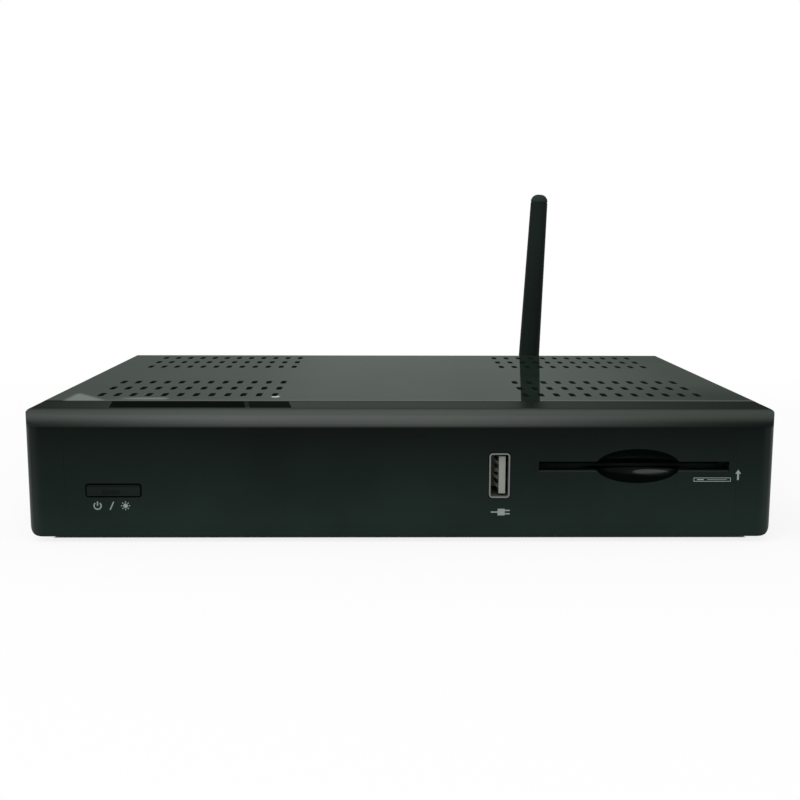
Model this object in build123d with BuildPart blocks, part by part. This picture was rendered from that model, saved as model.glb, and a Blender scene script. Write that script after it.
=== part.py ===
from build123d import *
import os
from math import cos, radians, sin, tan

os.makedirs("parts", exist_ok=True)

# Satellite television receiver: a sheet-steel case with a moulded front, a smart-card slot, a USB socket and
# a folding antenna at the back. Millimetres. X runs to the right seen from the front, Y to the back, Z up.
# The origin lies on the resting surface under the middle of the whole outline, antenna knuckle included.

# ---- Driving dimensions ----

# Case
body_width = 220.0
body_depth = 148.3  # nose of the brow to the back of the lid
lid_top = 39.6
foot_height = 1.6
sheet = 0.8  # steel of the lid and the tray
wall = 2.0  # moulded walls of the bezel
fit_gap = 0.1  # between pieces that are slid or bent onto each other
bend_inside = 0.1  # inside of the folds along the sides of the lid
bend_radius = 0.7  # outside of the folded rear edge of the lid

# Front bezel
bezel_depth = 18.6
bezel_drop = 0.05  # top of the bezel below the top of the lid
bottom_corner = 4.5
side_rounding = 3.5
sill_rounding = 1.0
brow_run = 6.0
brow_drop = 4.75
brow_overhang = 0.5
tongue_length = 4.0
pad_length = 8.0
pad_thickness = 2.5
pad_inset = 12.0
bezel_screw_spacing = 80.0
front_screw_inset = 10.0
front_screw_offset = 18.0  # left of the USB socket

# Fascia let into the face of the bezel
fascia_margin = 11.2
fascia_bottom = 4.9
fascia_height = 27.1
fascia_corner = 3.0
fascia_thickness = 1.5
fascia_gap = 0.03

# Smart-card slot, thumb scoop and reader
slot_inset = 41.5  # middle of the slot from the right side
slot_width = 56.2
slot_height = 2.7
slot_z = 23.05
slot_chamfer = 0.4
scoop_offset = 1.1
scoop_width = 25.1
scoop_height = 10.3
cup_wall = 1.5
card_space_width = 55.0
card_space_height = 1.6
card_space_depth = 54.0
reader_width = 62.0
reader_length = 58.0
reader_floor = 2.2
reader_cover = 0.5
reader_gap = 1.2  # scoop cup to reader
reader_board_overhang = 6.0
contact_pitch = 2.54
contact_columns = 4
contact_rows = 7.62

# Standby button and its switch
button_inset = 25.45  # middle of the button from the left side
button_z = 15.75
button_width = 15.7
button_height = 3.4
button_corner = 0.5
button_gap = 0.4
button_proud = 0.2
button_travel = 0.5
button_flange = 1.2
button_flange_thickness = 1.0
lens_width = 5.0
lens_height = 1.2
lens_offset_x = -0.65
lens_offset_z = -0.55
stem_offset = 4.6
stem_side = 3.0
tact_side = 6.0
tact_height = 3.5
plunger_radius = 1.7
plunger_length = 1.7
plunger_proud = 0.8
led_radius = 1.5
led_flange = 0.4
led_flange_thickness = 0.8
led_clearance = 0.6
receiver_offset = 22.0
receiver_window_radius = 5.0
receiver_width = 5.8
receiver_height = 6.8
receiver_depth = 5.0
receiver_lens_radius = 2.4

# USB socket
usb_offset = 39.65  # left of the middle of the card slot
usb_z = 20.25
usb_width = 6.1
usb_height = 13.4
usb_corner = 1.0
usb_shell = 0.45
usb_proud = 0.3
usb_hole_gap = 0.2
usb_length = 13.8
usb_tongue = 1.9
usb_tongue_height = 11.1
usb_tongue_setback = 1.0
usb_tongue_offset = 0.1  # left face of the tongue from the middle of the socket
usb_base = 2.0
usb_contact_height = 1.0
usb_contact_bow = 1.2
usb_contact_run = 3.0  # from the tip of a contact to its crest, and from there to its straight root
usb_contact_offsets = (-3.5, -1.0, 1.0, 3.5)
contact_thickness = 0.3

# Boards
board = 1.6
standoff_height = 5.2
standoff_radius = 3.0
front_board_bottom = 5.8
front_board_height = 28.2
main_board_setback = 0.7
main_board_left_inset = 10.0
main_board_right_inset = 6.0
main_screw_inset = 5.0
rear_screw_inset = 6.0
tuner_screw_inset = 18.0  # in front of the picture socket
tuner_screw_gap = 4.0
antenna_screw_offset = 5.0
board_gap = 1.0  # between boards, screws and their neighbours
screw_radius = 1.2
screw_hole_gap = 0.3
screw_head_radius = 2.5
screw_head = 1.5
screw_length = 5.0
thread_gap = 0.05
boss_radius = 3.0

# Tray
tray_side_height = 12.0
tray_flange = 8.0
floor_slot_length = 24.0
floor_slot_width = 2.5
floor_slot_pitch = 7.0
floor_slot_count = 10
floor_slot_offset = 12.0  # right group further back than the left one

# Lid
lid_inset = 0.05
lid_skirt_gap = 0.3
lip_height = 6.05
lip_screw_drop = 3.45
lip_screw_inset = 12.0
vent_length = 7.0
vent_width = 1.9
vent_pitch_x = 5.0
vent_pitch_y = 15.0
vent_columns = 12
vent_rows = 3
vent_inset = 42.5
front_vent_depth = 47.3
rear_vent_setback = 26.0

# Feet and label
foot_radius = 7.0
foot_chamfer = 0.6
foot_inset_x = 18.0
foot_inset_y = 20.0
label_thickness = 0.1
label_length = 12.0
label_setback = 0.4
label_long = 40.1
label_short = 12.3
label_split = 1.4
label_inset = 22.7
label_slant = 1.9  # how far its ends lean to the right towards the front

# Antenna
antenna_place = 0.2382  # swivel axis from the right side, as a share of the width
antenna_z = 25.0
antenna_reach = 18.0  # hinge pin behind the lid
antenna_length = 82.3  # hinge pin to tip
antenna_lean = 2.65
antenna_root_radius = 4.55
antenna_tip_radius = 3.55
antenna_tip_rounding = 3.0
antenna_cap = 3.3  # from the tip down to the seam under the cap
antenna_seam = 0.2  # radius of the seam's groove
knuckle_radius = 4.6
knuckle_slot = 4.2
tongue_gap = 0.1
shoulder_gap = 0.3
hinge_pin_radius = 1.0
running_gap = 0.05
ferrule_radius = 2.2
ferrule_head_radius = 3.0
ferrule_head = 0.8
coupling_radius = 4.8
coupling_length = 8.8
coupling_flange = 1.0
coupling_chamfer = 0.3
socket_radius = 3.175
socket_nut_flats = 8.0
socket_nut = 2.2
socket_flange_radius = 4.5
socket_flange = 2.0
crimp_radius = 1.6
crimp_length = 6.0

# Rear sockets: an inset is measured from the nearest side, a place is a share of the width from the left
tuner_inset = 12.0
tuner_width = 40.0
tuner_length = 38.0
tuner_height = 15.0
tuner_socket_pitch = 20.0
tuner_socket_z = 7.5
f_thread_radius = 4.7625
f_thread_length = 10.5
f_relief_radius = 4.4
f_relief = 1.3
f_flange_radius = 5.6
f_bore_radius = 3.6
f_bore_depth = 8.3
f_contact_radius = 0.75
f_contact_floor = 1.0
hdmi_place = 0.31
hdmi_width = 15.2
hdmi_height = 6.0
hdmi_length = 11.6
hdmi_shell = 0.4
hdmi_proud = 1.0
hdmi_base = 2.0
hdmi_tongue_width = 11.2
hdmi_tongue_thickness = 1.6
network_place = 0.4
network_width = 16.0
network_height = 13.4
network_length = 21.0
network_bore_width = 11.8
network_bore_height = 8.2
network_bore_depth = 13.0
network_bore_z = 2.4
network_latch_width = 6.2
network_latch_height = 1.5
network_pins = 8
network_pin_pitch = 1.02
network_pin_drop = 1.0
network_pin_setback = 3.2
network_proud = 0.7
phono_place = 0.575
phono_pitch = 13.0
phono_count = 4
phono_z = 7.0
phono_block_length = 12.0
phono_block_height = 13.6
phono_collar_radius = 4.5
phono_collar = 1.7
phono_ring_radius = 4.15
phono_ring_wall = 0.4
phono_ring_length = 7.5
phono_pin_radius = 1.6
panel_hole_gap = 0.3
dc_inset = 12.0
dc_width = 9.0
dc_height = 11.0
dc_length = 12.7
dc_z = 6.5
dc_nose_radius = 4.0
dc_nose = 2.0
dc_bore_radius = 3.15
dc_bore_depth = 9.8
dc_pin_radius = 1.0
dc_pin_setback = 0.8
switch_inset = 32.0
switch_z = 22.0
switch_width = 19.0
switch_height = 12.8
switch_length = 14.0
switch_flange = 1.1
switch_flange_thickness = 2.0
switch_wall_x = 1.5
switch_wall_z = 0.9
switch_bore_depth = 10.5
rocker_gap = 0.3
rocker_radius = 7.7
rocker_pivot_depth = 2.0
rocker_valley = 3.2
rocker_root = 2.5
rocker_angle = 10.0
rocker_pin_radius = 1.2
rocker_pin_reach = 0.6
terminal_length = 7.0
terminal_width = 4.8
terminal_spacing = 8.0
lead_radius = 0.8
lead_straight = 10.0
lead_reach = 18.0
lead_dip = 5.0

# Parts on the main board
processor_side = 25.0
processor_height = 1.8
processor_x = -10.0
processor_setback = 20.0
heat_sink_side = 38.0
heat_sink_base = 2.0
heat_sink_height = 11.0
fin = 1.0
fin_count = 9
memory_width = 13.0
memory_length = 10.0
memory_height = 1.2
memory_x = 20.0
memory_pitch = 16.0
capacitor_radius = 3.5
capacitor_height = 11.0
capacitor_pitch_x = 9.0
capacitor_pitch_y = 12.0
capacitor_rows = 3
capacitor_inset = 5.0
capacitor_setback = 15.0
capacitor_chamfer = 0.4
inductor_side = 8.0
inductor_height = 4.0
inductor_pitch = 12.0
inductor_count = 3
inductor_setback = 8.0
wifi_width = 26.0
wifi_length = 18.0
wifi_board = 1.0
wifi_setback = 22.0
wifi_offset = 2.0  # left of the antenna
wifi_shield_width = 14.0
wifi_shield_length = 14.0
wifi_shield_height = 2.2
plug_radius = 1.3
plug_height = 1.2
plug_gap = 2.5  # beside the shield
shield_offset = 2.0
pigtail_rise = 7.0
pigtail_straight = 8.0
coax_radius = 0.57
ribbon_width = 16.0
ribbon_thickness = 0.3
ribbon_x = -40.0
header_length = 3.0
header_height = 4.0
header_overhang = 1.0
ribbon_sag = 6.0

# ---- Places worked out from them ----

overall_depth = body_depth + antenna_reach + knuckle_radius
front_y = -overall_depth / 2
half_width = body_width / 2
floor_top = foot_height + sheet
lid_under = lid_top - sheet
bezel_top = lid_top - bezel_drop
top_corner = bend_inside + sheet + lid_inset
brow_bottom = bezel_top - brow_drop
inner_front = brow_overhang + fascia_thickness + wall  # depth of the back of the front wall
tray_half = half_width - lid_inset - sheet - fit_gap
lid_front = bezel_depth + fit_gap
panel_outside = body_depth - sheet - fit_gap
panel_inside = panel_outside - sheet
tray_front = bezel_depth + fit_gap
pad_end = bezel_depth + pad_length

slot_x = half_width - slot_inset
scoop_x = slot_x + scoop_offset
scoop_radius = scoop_height / 2
cup_end = brow_overhang + scoop_radius + cup_wall
reader_front = cup_end + reader_gap
reader_end = reader_front + reader_length
reader_bottom = slot_z - card_space_height / 2 - reader_floor
reader_top = slot_z + card_space_height / 2
button_x = -half_width + button_inset
usb_x = slot_x - usb_offset
usb_front = brow_overhang - usb_proud
front_board_depth = usb_front + usb_length
front_board_back = front_board_depth + board
receiver_x = button_x + receiver_offset

board_bottom = floor_top + standoff_height
board_top = board_bottom + board
main_board_front = reader_end + wall
main_board_back = panel_inside - main_board_setback
main_board_left = -half_width + main_board_left_inset
main_board_right = half_width - main_board_right_inset

antenna_x = half_width - antenna_place * body_width
hinge_depth = body_depth + antenna_reach
coupling_front = panel_outside + socket_nut + 2 * fit_gap
coupling_end = coupling_front + coupling_length
knuckle_front = coupling_end + 2 * fit_gap

tuner_left = -half_width + tuner_inset
tuner_right = tuner_left + tuner_width
tuner_socket_xs = [(tuner_left + tuner_right) / 2 + side * tuner_socket_pitch for side in (-0.5, 0.5)]
hdmi_x = -half_width + hdmi_place * body_width
network_x = -half_width + network_place * body_width
phono_x = -half_width + phono_place * body_width
dc_x = half_width - dc_inset
switch_x = half_width - switch_inset


# ---- Helpers ----


def at(depth):
    """Y of a depth behind the nose of the front."""
    return front_y + depth


def front_plane(depth):
    """A plane that faces the front, with X to the right and Z up; it extrudes back by a negative amount."""
    return Plane(origin=(0, at(depth), 0), x_dir=(1, 0, 0), z_dir=(0, -1, 0))


def block(x, depth, z, mode=Mode.ADD):
    """A box between two limits along each axis."""
    with Locations((sum(x) / 2, at(sum(depth) / 2), sum(z) / 2)):
        Box(x[1] - x[0], depth[1] - depth[0], z[1] - z[0], mode=mode)


def rod(x, z, depth, radius, mode=Mode.ADD):
    """A cylinder that runs from front to back."""
    with Locations((x, at(sum(depth) / 2), z)):
        Cylinder(radius, depth[1] - depth[0], rotation=(90, 0, 0), mode=mode)


def post(x, depth, z, radius, mode=Mode.ADD):
    """An upright cylinder."""
    with Locations((x, at(depth), sum(z) / 2)):
        Cylinder(radius, z[1] - z[0], mode=mode)


def around(middle, size):
    """The two limits of a size centred on a middle."""
    return (middle - size / 2, middle + size / 2)


def save(piece, node):
    """Label a finished piece and write it."""
    piece.part.label = node
    export_step(piece.part, f"parts/{node}.step")


def bend_radii(points):
    """The largest arcs that the runs of a cord's route leave room for."""
    radii = []
    for before, corner, after in zip(points, points[1:], points[2:]):
        run_in = Vector(*corner) - Vector(*before)
        run_out = Vector(*after) - Vector(*corner)
        half_turn = radians(run_in.get_angle(run_out) / 2)
        radii.append(0.45 * min(run_in.length, run_out.length) / tan(half_turn))
    return radii


# ---- Places of the fasteners ----

front_screws = [
    (x, z)
    for x in (-half_width + front_screw_inset, usb_x - front_screw_offset)
    for z in (front_board_bottom + boss_radius, front_board_bottom + front_board_height - boss_radius)
]
bezel_screws = [(x, bezel_depth + pad_length / 2) for x in (-bezel_screw_spacing, 0, bezel_screw_spacing)]
main_screws = [
    (main_board_left + main_screw_inset, main_board_front + main_screw_inset),
    (main_board_right - main_screw_inset, main_board_front + main_screw_inset),
    (slot_x / 2, main_board_front + main_screw_inset),
    (tuner_right + tuner_screw_gap, main_board_back - tuner_screw_inset),
    (antenna_x + antenna_screw_offset, main_board_back - rear_screw_inset),
]
reader_pillar_x = reader_width / 2 + reader_board_overhang / 2
reader_pillars = [
    (x, depth)
    for x in (slot_x - reader_pillar_x, slot_x + reader_pillar_x)
    for depth in (pad_end + standoff_radius + board_gap, reader_end - standoff_radius - board_gap)
]
lip_screw_x = half_width - lip_screw_inset
lip_screws = [(x, lid_top - lip_screw_drop) for x in (-lip_screw_x, 0, lip_screw_x)]

# ---- Front ----

# The scoop is half of a spheroid, so that a thumb can push the card home.
with BuildPart() as scoop:
    with BuildSketch(Plane.XY.offset(slot_z)):
        with Locations((scoop_x, at(brow_overhang))):
            Ellipse(scoop_width / 2, scoop_radius)
            Rectangle(scoop_width, scoop_radius, align=(Align.CENTER, Align.MIN), mode=Mode.INTERSECT)
    revolve(axis=Axis((scoop_x, at(brow_overhang), slot_z), (1, 0, 0)))

with BuildPart() as front_bezel:
    # Side view: sill, face, overhanging brow and top.
    with BuildSketch(Plane.YZ):
        with BuildLine():
            Line((at(bezel_depth), bezel_top), (at(bezel_depth), foot_height))
            Line((at(bezel_depth), foot_height), (at(brow_overhang + sill_rounding), foot_height))
            RadiusArc(
                (at(brow_overhang + sill_rounding), foot_height),
                (at(brow_overhang), foot_height + sill_rounding),
                sill_rounding,
            )
            Line((at(brow_overhang), foot_height + sill_rounding), (at(brow_overhang), brow_bottom))
            Line((at(brow_overhang), brow_bottom), (at(0), brow_bottom))
            TangentArc((at(brow_run), bezel_top), (at(0), brow_bottom), tangent=(-1, 0))
            Line((at(brow_run), bezel_top), (at(bezel_depth), bezel_top))
        make_face()
    extrude(amount=half_width, both=True)
    # Front view: the corners.
    with BuildSketch(front_plane(0)) as outline:
        with Locations((0, (foot_height + bezel_top) / 2)):
            Rectangle(body_width, bezel_top - foot_height)
        fillet(outline.vertices().group_by(Axis.Y)[-1], top_corner)
        fillet(outline.vertices().group_by(Axis.Y)[0], bottom_corner)
    extrude(amount=-bezel_depth, mode=Mode.INTERSECT)
    # Top view: the upright front edges.
    with BuildSketch(Plane.XY) as plan:
        with Locations((0, at(bezel_depth / 2))):
            Rectangle(body_width, bezel_depth)
        fillet(plan.vertices().group_by(Axis.Y)[0], side_rounding)
    extrude(amount=lid_top, mode=Mode.INTERSECT)
    # Tongue that the lid slides over.
    with BuildSketch(front_plane(bezel_depth)) as tongue:
        with Locations((0, lid_under - fit_gap / 2)):
            Rectangle(
                2 * tray_half,
                lid_under - foot_height - tray_side_height,
                align=(Align.CENTER, Align.MAX),
            )
        fillet(tongue.vertices().group_by(Axis.Y)[-1], bend_inside)
    extrude(amount=-tongue_length)
    # Hollow, open at the back.
    with BuildSketch(front_plane(inner_front)) as hollow:
        with Locations((0, (foot_height + bezel_top) / 2)):
            Rectangle(body_width - 2 * wall, bezel_top - foot_height - 2 * wall)
        fillet(hollow.vertices().group_by(Axis.Y)[-1], bend_inside)
        fillet(hollow.vertices().group_by(Axis.Y)[0], bottom_corner - wall)
    extrude(amount=-(bezel_depth + tongue_length - inner_front), mode=Mode.SUBTRACT)
    # Pad over the tray's floor, for the screws from below.
    block(
        (-half_width + pad_inset, half_width - pad_inset),
        (bezel_depth - wall, pad_end),
        (floor_top, floor_top + pad_thickness),
    )
    for x, depth in bezel_screws:
        post(x, depth, (floor_top, floor_top + pad_thickness), screw_radius + thread_gap, Mode.SUBTRACT)
    # Cup around the scoop.
    with BuildSketch(front_plane(inner_front)):
        with Locations((scoop_x, slot_z)):
            Ellipse(scoop_width / 2 + cup_wall, scoop_radius + cup_wall)
    extrude(amount=-(cup_end - inner_front))
    # Bosses for the front board.
    for x, z in front_screws:
        rod(x, z, (inner_front, front_board_depth), boss_radius)
    for x, z in front_screws:
        rod(x, z, (inner_front + wall, front_board_depth), screw_radius + thread_gap, Mode.SUBTRACT)
    # Pocket for the fascia, then everything that passes through the front wall.
    with BuildSketch(front_plane(brow_overhang)):
        with Locations((0, fascia_bottom + fascia_height / 2)):
            RectangleRounded(body_width - 2 * fascia_margin, fascia_height, fascia_corner)
    extrude(amount=-fascia_thickness, mode=Mode.SUBTRACT)
    with BuildSketch(front_plane(brow_overhang)):
        with Locations((button_x, button_z)):
            RectangleRounded(
                button_width + 2 * button_gap, button_height + 2 * button_gap, button_corner + button_gap
            )
        with Locations((usb_x, usb_z)):
            RectangleRounded(usb_width + 2 * usb_hole_gap, usb_height + 2 * usb_hole_gap, usb_corner)
        with Locations((slot_x, slot_z)):
            Rectangle(slot_width, slot_height)
    extrude(amount=-(cup_end - brow_overhang), mode=Mode.SUBTRACT)
    rod(receiver_x, button_z, (brow_overhang, inner_front), receiver_window_radius, Mode.SUBTRACT)
    add(scoop.part, mode=Mode.SUBTRACT)
save(front_bezel, "front_bezel")

with BuildPart() as front_fascia:
    with BuildSketch(front_plane(brow_overhang)):
        with Locations((0, fascia_bottom + fascia_height / 2)):
            RectangleRounded(
                body_width - 2 * (fascia_margin + fascia_gap),
                fascia_height - 2 * fascia_gap,
                fascia_corner - fascia_gap,
            )
        with Locations((button_x, button_z)):
            RectangleRounded(
                button_width + 2 * button_gap,
                button_height + 2 * button_gap,
                button_corner + button_gap,
                mode=Mode.SUBTRACT,
            )
        with Locations((usb_x, usb_z)):
            RectangleRounded(
                usb_width + 2 * usb_hole_gap,
                usb_height + 2 * usb_hole_gap,
                usb_corner,
                mode=Mode.SUBTRACT,
            )
        with Locations((slot_x, slot_z)):
            Rectangle(slot_width, slot_height, mode=Mode.SUBTRACT)
    extrude(amount=-fascia_thickness)
    add(scoop.part, mode=Mode.SUBTRACT)
    # Bevel along the lower lip of the slot.
    slot_bottom = slot_z - slot_height / 2
    with BuildSketch(Plane.YZ.offset(slot_x)):
        with BuildLine():
            Polyline(
                (at(brow_overhang), slot_bottom),
                (at(brow_overhang), slot_bottom - slot_chamfer),
                (at(brow_overhang + slot_chamfer), slot_bottom),
                close=True,
            )
        make_face()
    extrude(amount=slot_width / 2, both=True, mode=Mode.SUBTRACT)
save(front_fascia, "front_fascia")

with BuildPart() as label_strip:
    label_left = -half_width + label_inset
    label_next = label_left + label_long + label_split
    label_back = bezel_depth - label_setback
    label_front = label_back - label_length
    with BuildSketch(Plane.XY.offset(bezel_top)):
        for left, length in ((label_left, label_long), (label_next, label_short)):
            with BuildLine():
                Polyline(
                    (left + label_slant / 2, at(label_front)),
                    (left + length + label_slant / 2, at(label_front)),
                    (left + length - label_slant / 2, at(label_back)),
                    (left - label_slant / 2, at(label_back)),
                    close=True,
                )
            make_face()
    extrude(amount=label_thickness)
save(label_strip, "label_strip")

# ---- Standby button, its switch and the parts on the front board ----

button_back = inner_front + fit_gap + button_flange_thickness
stem_x = button_x + stem_offset
lens_x = button_x + lens_offset_x
lens_z = button_z + lens_offset_z
tact_front = front_board_depth - tact_height
plunger_front = tact_front - plunger_proud

with BuildPart() as standby_button:
    with BuildSketch(front_plane(brow_overhang - button_proud)):
        with Locations((button_x, button_z)):
            RectangleRounded(button_width, button_height, button_corner)
    extrude(amount=-(button_back - brow_overhang + button_proud))
    fillet(standby_button.faces().sort_by(Axis.Y)[0].edges(), button_proud)
    with BuildSketch(front_plane(inner_front + fit_gap)):
        with Locations((button_x, button_z)):
            RectangleRounded(
                button_width + 2 * button_flange, button_height + 2 * button_flange, button_corner
            )
    extrude(amount=-button_flange_thickness)
    block(around(stem_x, stem_side), (button_back, plunger_front), around(button_z, stem_side))
    block(
        around(lens_x, lens_width),
        (brow_overhang - button_proud, button_back),
        around(lens_z, lens_height),
        Mode.SUBTRACT,
    )
save(standby_button, "standby_button")

with BuildPart() as button_lens:
    block(
        around(lens_x, lens_width),
        (brow_overhang - button_proud / 2, button_back),
        around(lens_z, lens_height),
    )
save(button_lens, "button_lens")

with BuildPart() as tact_switch_body:
    block(around(stem_x, tact_side), (tact_front, front_board_depth), around(button_z, tact_side))
    rod(
        stem_x,
        button_z,
        (tact_front, plunger_front + plunger_length + button_travel + fit_gap),
        plunger_radius + running_gap,
        Mode.SUBTRACT,
    )
save(tact_switch_body, "tact_switch_body")

with BuildPart() as tact_switch_plunger:
    rod(stem_x, button_z, (plunger_front, plunger_front + plunger_length), plunger_radius)
save(tact_switch_plunger, "tact_switch_plunger")

with BuildPart() as status_led:
    led_dome = button_back + button_travel + led_clearance + led_radius
    rod(lens_x, lens_z, (led_dome, front_board_depth), led_radius)
    rod(
        lens_x,
        lens_z,
        (front_board_depth - led_flange_thickness, front_board_depth),
        led_radius + led_flange,
    )
    with Locations((lens_x, at(led_dome), lens_z)):
        Sphere(led_radius)
save(status_led, "status_led")

with BuildPart() as infrared_receiver:
    receiver_front = front_board_depth - receiver_depth
    block(
        around(receiver_x, receiver_width),
        (receiver_front, front_board_depth),
        around(button_z, receiver_height),
    )
    with Locations((receiver_x, at(receiver_front), button_z)):
        Sphere(receiver_lens_radius)
save(infrared_receiver, "infrared_receiver")

with BuildPart() as front_board:
    block(
        (-half_width + pad_inset / 2, usb_x + usb_width + screw_head),
        (front_board_depth, front_board_back),
        (front_board_bottom, front_board_bottom + front_board_height),
    )
    for x, z in front_screws:
        rod(x, z, (front_board_depth, front_board_back), screw_radius + screw_hole_gap, Mode.SUBTRACT)
save(front_board, "front_board")

# ---- USB socket ----

usb_tongue_left = usb_x - usb_tongue_offset
usb_tongue_right = usb_tongue_left + usb_tongue
usb_inner_end = front_board_depth - usb_shell

with BuildPart() as usb_shell_piece:
    with BuildSketch(front_plane(usb_front)):
        with Locations((usb_x, usb_z)):
            RectangleRounded(usb_width, usb_height, usb_corner)
    extrude(amount=-usb_length)
    with BuildSketch(front_plane(usb_front)):
        with Locations((usb_x, usb_z)):
            RectangleRounded(usb_width - 2 * usb_shell, usb_height - 2 * usb_shell, usb_corner - usb_shell)
    extrude(amount=-(usb_length - usb_shell), mode=Mode.SUBTRACT)
save(usb_shell_piece, "usb_shell")

with BuildPart() as usb_tongue_piece:
    block(
        (usb_tongue_left, usb_tongue_right),
        (usb_front + usb_tongue_setback, usb_inner_end),
        around(usb_z, usb_tongue_height),
    )
    block(
        around(usb_x, usb_width - 2 * usb_shell - 2 * fit_gap),
        (usb_inner_end - usb_base, usb_inner_end),
        around(usb_z, usb_tongue_height),
    )
save(usb_tongue_piece, "usb_tongue")

# Each contact bows away from the tongue between its tip and its straight root.
contact_tip = usb_front + 2 * usb_tongue_setback
contact_crest = contact_tip + usb_contact_run
contact_root = contact_crest + usb_contact_run
contact_end = usb_inner_end - usb_base
with BuildPart() as usb_contacts:
    for offset in usb_contact_offsets:
        with BuildSketch(Plane.XY.offset(usb_z + offset - usb_contact_height / 2)):
            with BuildLine():
                Polyline(
                    (usb_tongue_left, at(contact_tip)),
                    (usb_tongue_left - usb_contact_bow, at(contact_crest)),
                    (usb_tongue_left - contact_thickness, at(contact_root)),
                    (usb_tongue_left - contact_thickness, at(contact_end)),
                    (usb_tongue_left, at(contact_end)),
                    (usb_tongue_left, at(contact_root - contact_thickness)),
                    (usb_tongue_left - usb_contact_bow + contact_thickness, at(contact_crest)),
                    (usb_tongue_left, at(contact_tip + 2 * contact_thickness)),
                    close=True,
                )
            make_face()
        extrude(amount=usb_contact_height)
save(usb_contacts, "usb_contacts")

# ---- Smart-card reader ----

with BuildPart() as card_reader_body:
    block(around(slot_x, reader_width), (reader_front, reader_end), (reader_bottom, reader_top))
    block(
        around(slot_x, card_space_width),
        (reader_front, reader_front + card_space_depth),
        (reader_top - card_space_height, reader_top),
        Mode.SUBTRACT,
    )
save(card_reader_body, "card_reader_body")

with BuildPart() as card_reader_cover:
    block(
        around(slot_x, reader_width), (reader_front, reader_end), (reader_top, reader_top + reader_cover)
    )
save(card_reader_cover, "card_reader_cover")

with BuildPart() as card_reader_contacts:
    for row in (-contact_rows / 2, contact_rows / 2):
        for column in range(contact_columns):
            block(
                around(slot_x + (column - (contact_columns - 1) / 2) * contact_pitch, contact_pitch / 2),
                around(reader_front + card_space_depth / 2 + row, contact_pitch * 2),
                (reader_top - card_space_height, reader_top - card_space_height + contact_thickness),
            )
save(card_reader_contacts, "card_reader_contacts")

with BuildPart() as card_reader_board:
    block(
        around(slot_x, reader_width + 2 * reader_board_overhang),
        (front_board_back + screw_head + board_gap, reader_end),
        (reader_bottom - board, reader_bottom),
    )
    for x, depth in reader_pillars:
        post(
            x,
            depth,
            (reader_bottom - board, reader_bottom),
            screw_radius + screw_hole_gap,
            Mode.SUBTRACT,
        )
save(card_reader_board, "card_reader_board")

with BuildPart() as card_reader_pillars:
    for x, depth in reader_pillars:
        post(x, depth, (floor_top, reader_bottom - board), standoff_radius - screw_hole_gap)
    for x, depth in reader_pillars:
        post(
            x,
            depth,
            (reader_bottom - board - screw_length, reader_bottom - board),
            screw_radius + thread_gap,
            Mode.SUBTRACT,
        )
save(card_reader_pillars, "card_reader_pillars")

# ---- Case ----

with BuildPart() as chassis_tray:
    block((-tray_half, tray_half), (tray_front, panel_outside), (foot_height, floor_top))
    for side in (-1, 1):
        flange_x = sorted((side * tray_half, side * (tray_half - sheet)))
        block(
            flange_x,
            (bezel_depth + tongue_length + fit_gap, panel_outside),
            (foot_height, foot_height + tray_side_height),
        )
    with BuildSketch(front_plane(panel_inside)) as rear_panel:
        with Locations((0, lid_under)):
            Rectangle(2 * tray_half, lid_under - foot_height, align=(Align.CENTER, Align.MAX))
        fillet(rear_panel.vertices().group_by(Axis.Y)[-1], bend_inside)
    extrude(amount=-sheet)
    block(
        (-half_width + pad_inset, half_width - pad_inset),
        (panel_outside - tray_flange, panel_outside),
        (lid_under - sheet, lid_under),
    )
    # Floor slots, in two groups.
    with BuildSketch(Plane.XY.offset(foot_height)):
        with Locations(
            (-half_width / 2, at(body_depth / 2)),
            (half_width / 4, at(body_depth / 2 + floor_slot_offset)),
        ):
            with GridLocations(floor_slot_pitch, 1, floor_slot_count, 1):
                SlotOverall(floor_slot_length, floor_slot_width, rotation=90)
    extrude(amount=sheet, mode=Mode.SUBTRACT)
    for x, depth in bezel_screws:
        post(x, depth, (foot_height, floor_top), screw_radius + screw_hole_gap, Mode.SUBTRACT)
    # Cut-outs for the rear sockets.
    panel = (panel_inside, panel_outside)
    for x in tuner_socket_xs:
        rod(x, board_top + tuner_socket_z, panel, f_thread_radius + panel_hole_gap, Mode.SUBTRACT)
    block(
        around(hdmi_x, hdmi_width + 2 * panel_hole_gap),
        panel,
        around(board_top + hdmi_height / 2, hdmi_height + 2 * panel_hole_gap),
        Mode.SUBTRACT,
    )
    block(
        around(network_x, network_width + 2 * panel_hole_gap),
        panel,
        around(board_top + network_height / 2, network_height + 2 * panel_hole_gap),
        Mode.SUBTRACT,
    )
    for index in range(phono_count):
        x = phono_x + (index - (phono_count - 1) / 2) * phono_pitch
        rod(x, board_top + phono_z, panel, phono_collar_radius + panel_hole_gap, Mode.SUBTRACT)
    rod(antenna_x, antenna_z, panel, socket_radius + fit_gap, Mode.SUBTRACT)
    rod(dc_x, board_top + dc_z, panel, dc_nose_radius + panel_hole_gap, Mode.SUBTRACT)
    block(
        around(switch_x, switch_width + 2 * fit_gap),
        panel,
        around(switch_z, switch_height + 2 * fit_gap),
        Mode.SUBTRACT,
    )
    for x, z in lip_screws:
        rod(x, z, panel, screw_radius + thread_gap, Mode.SUBTRACT)
save(chassis_tray, "chassis_tray")

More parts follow.
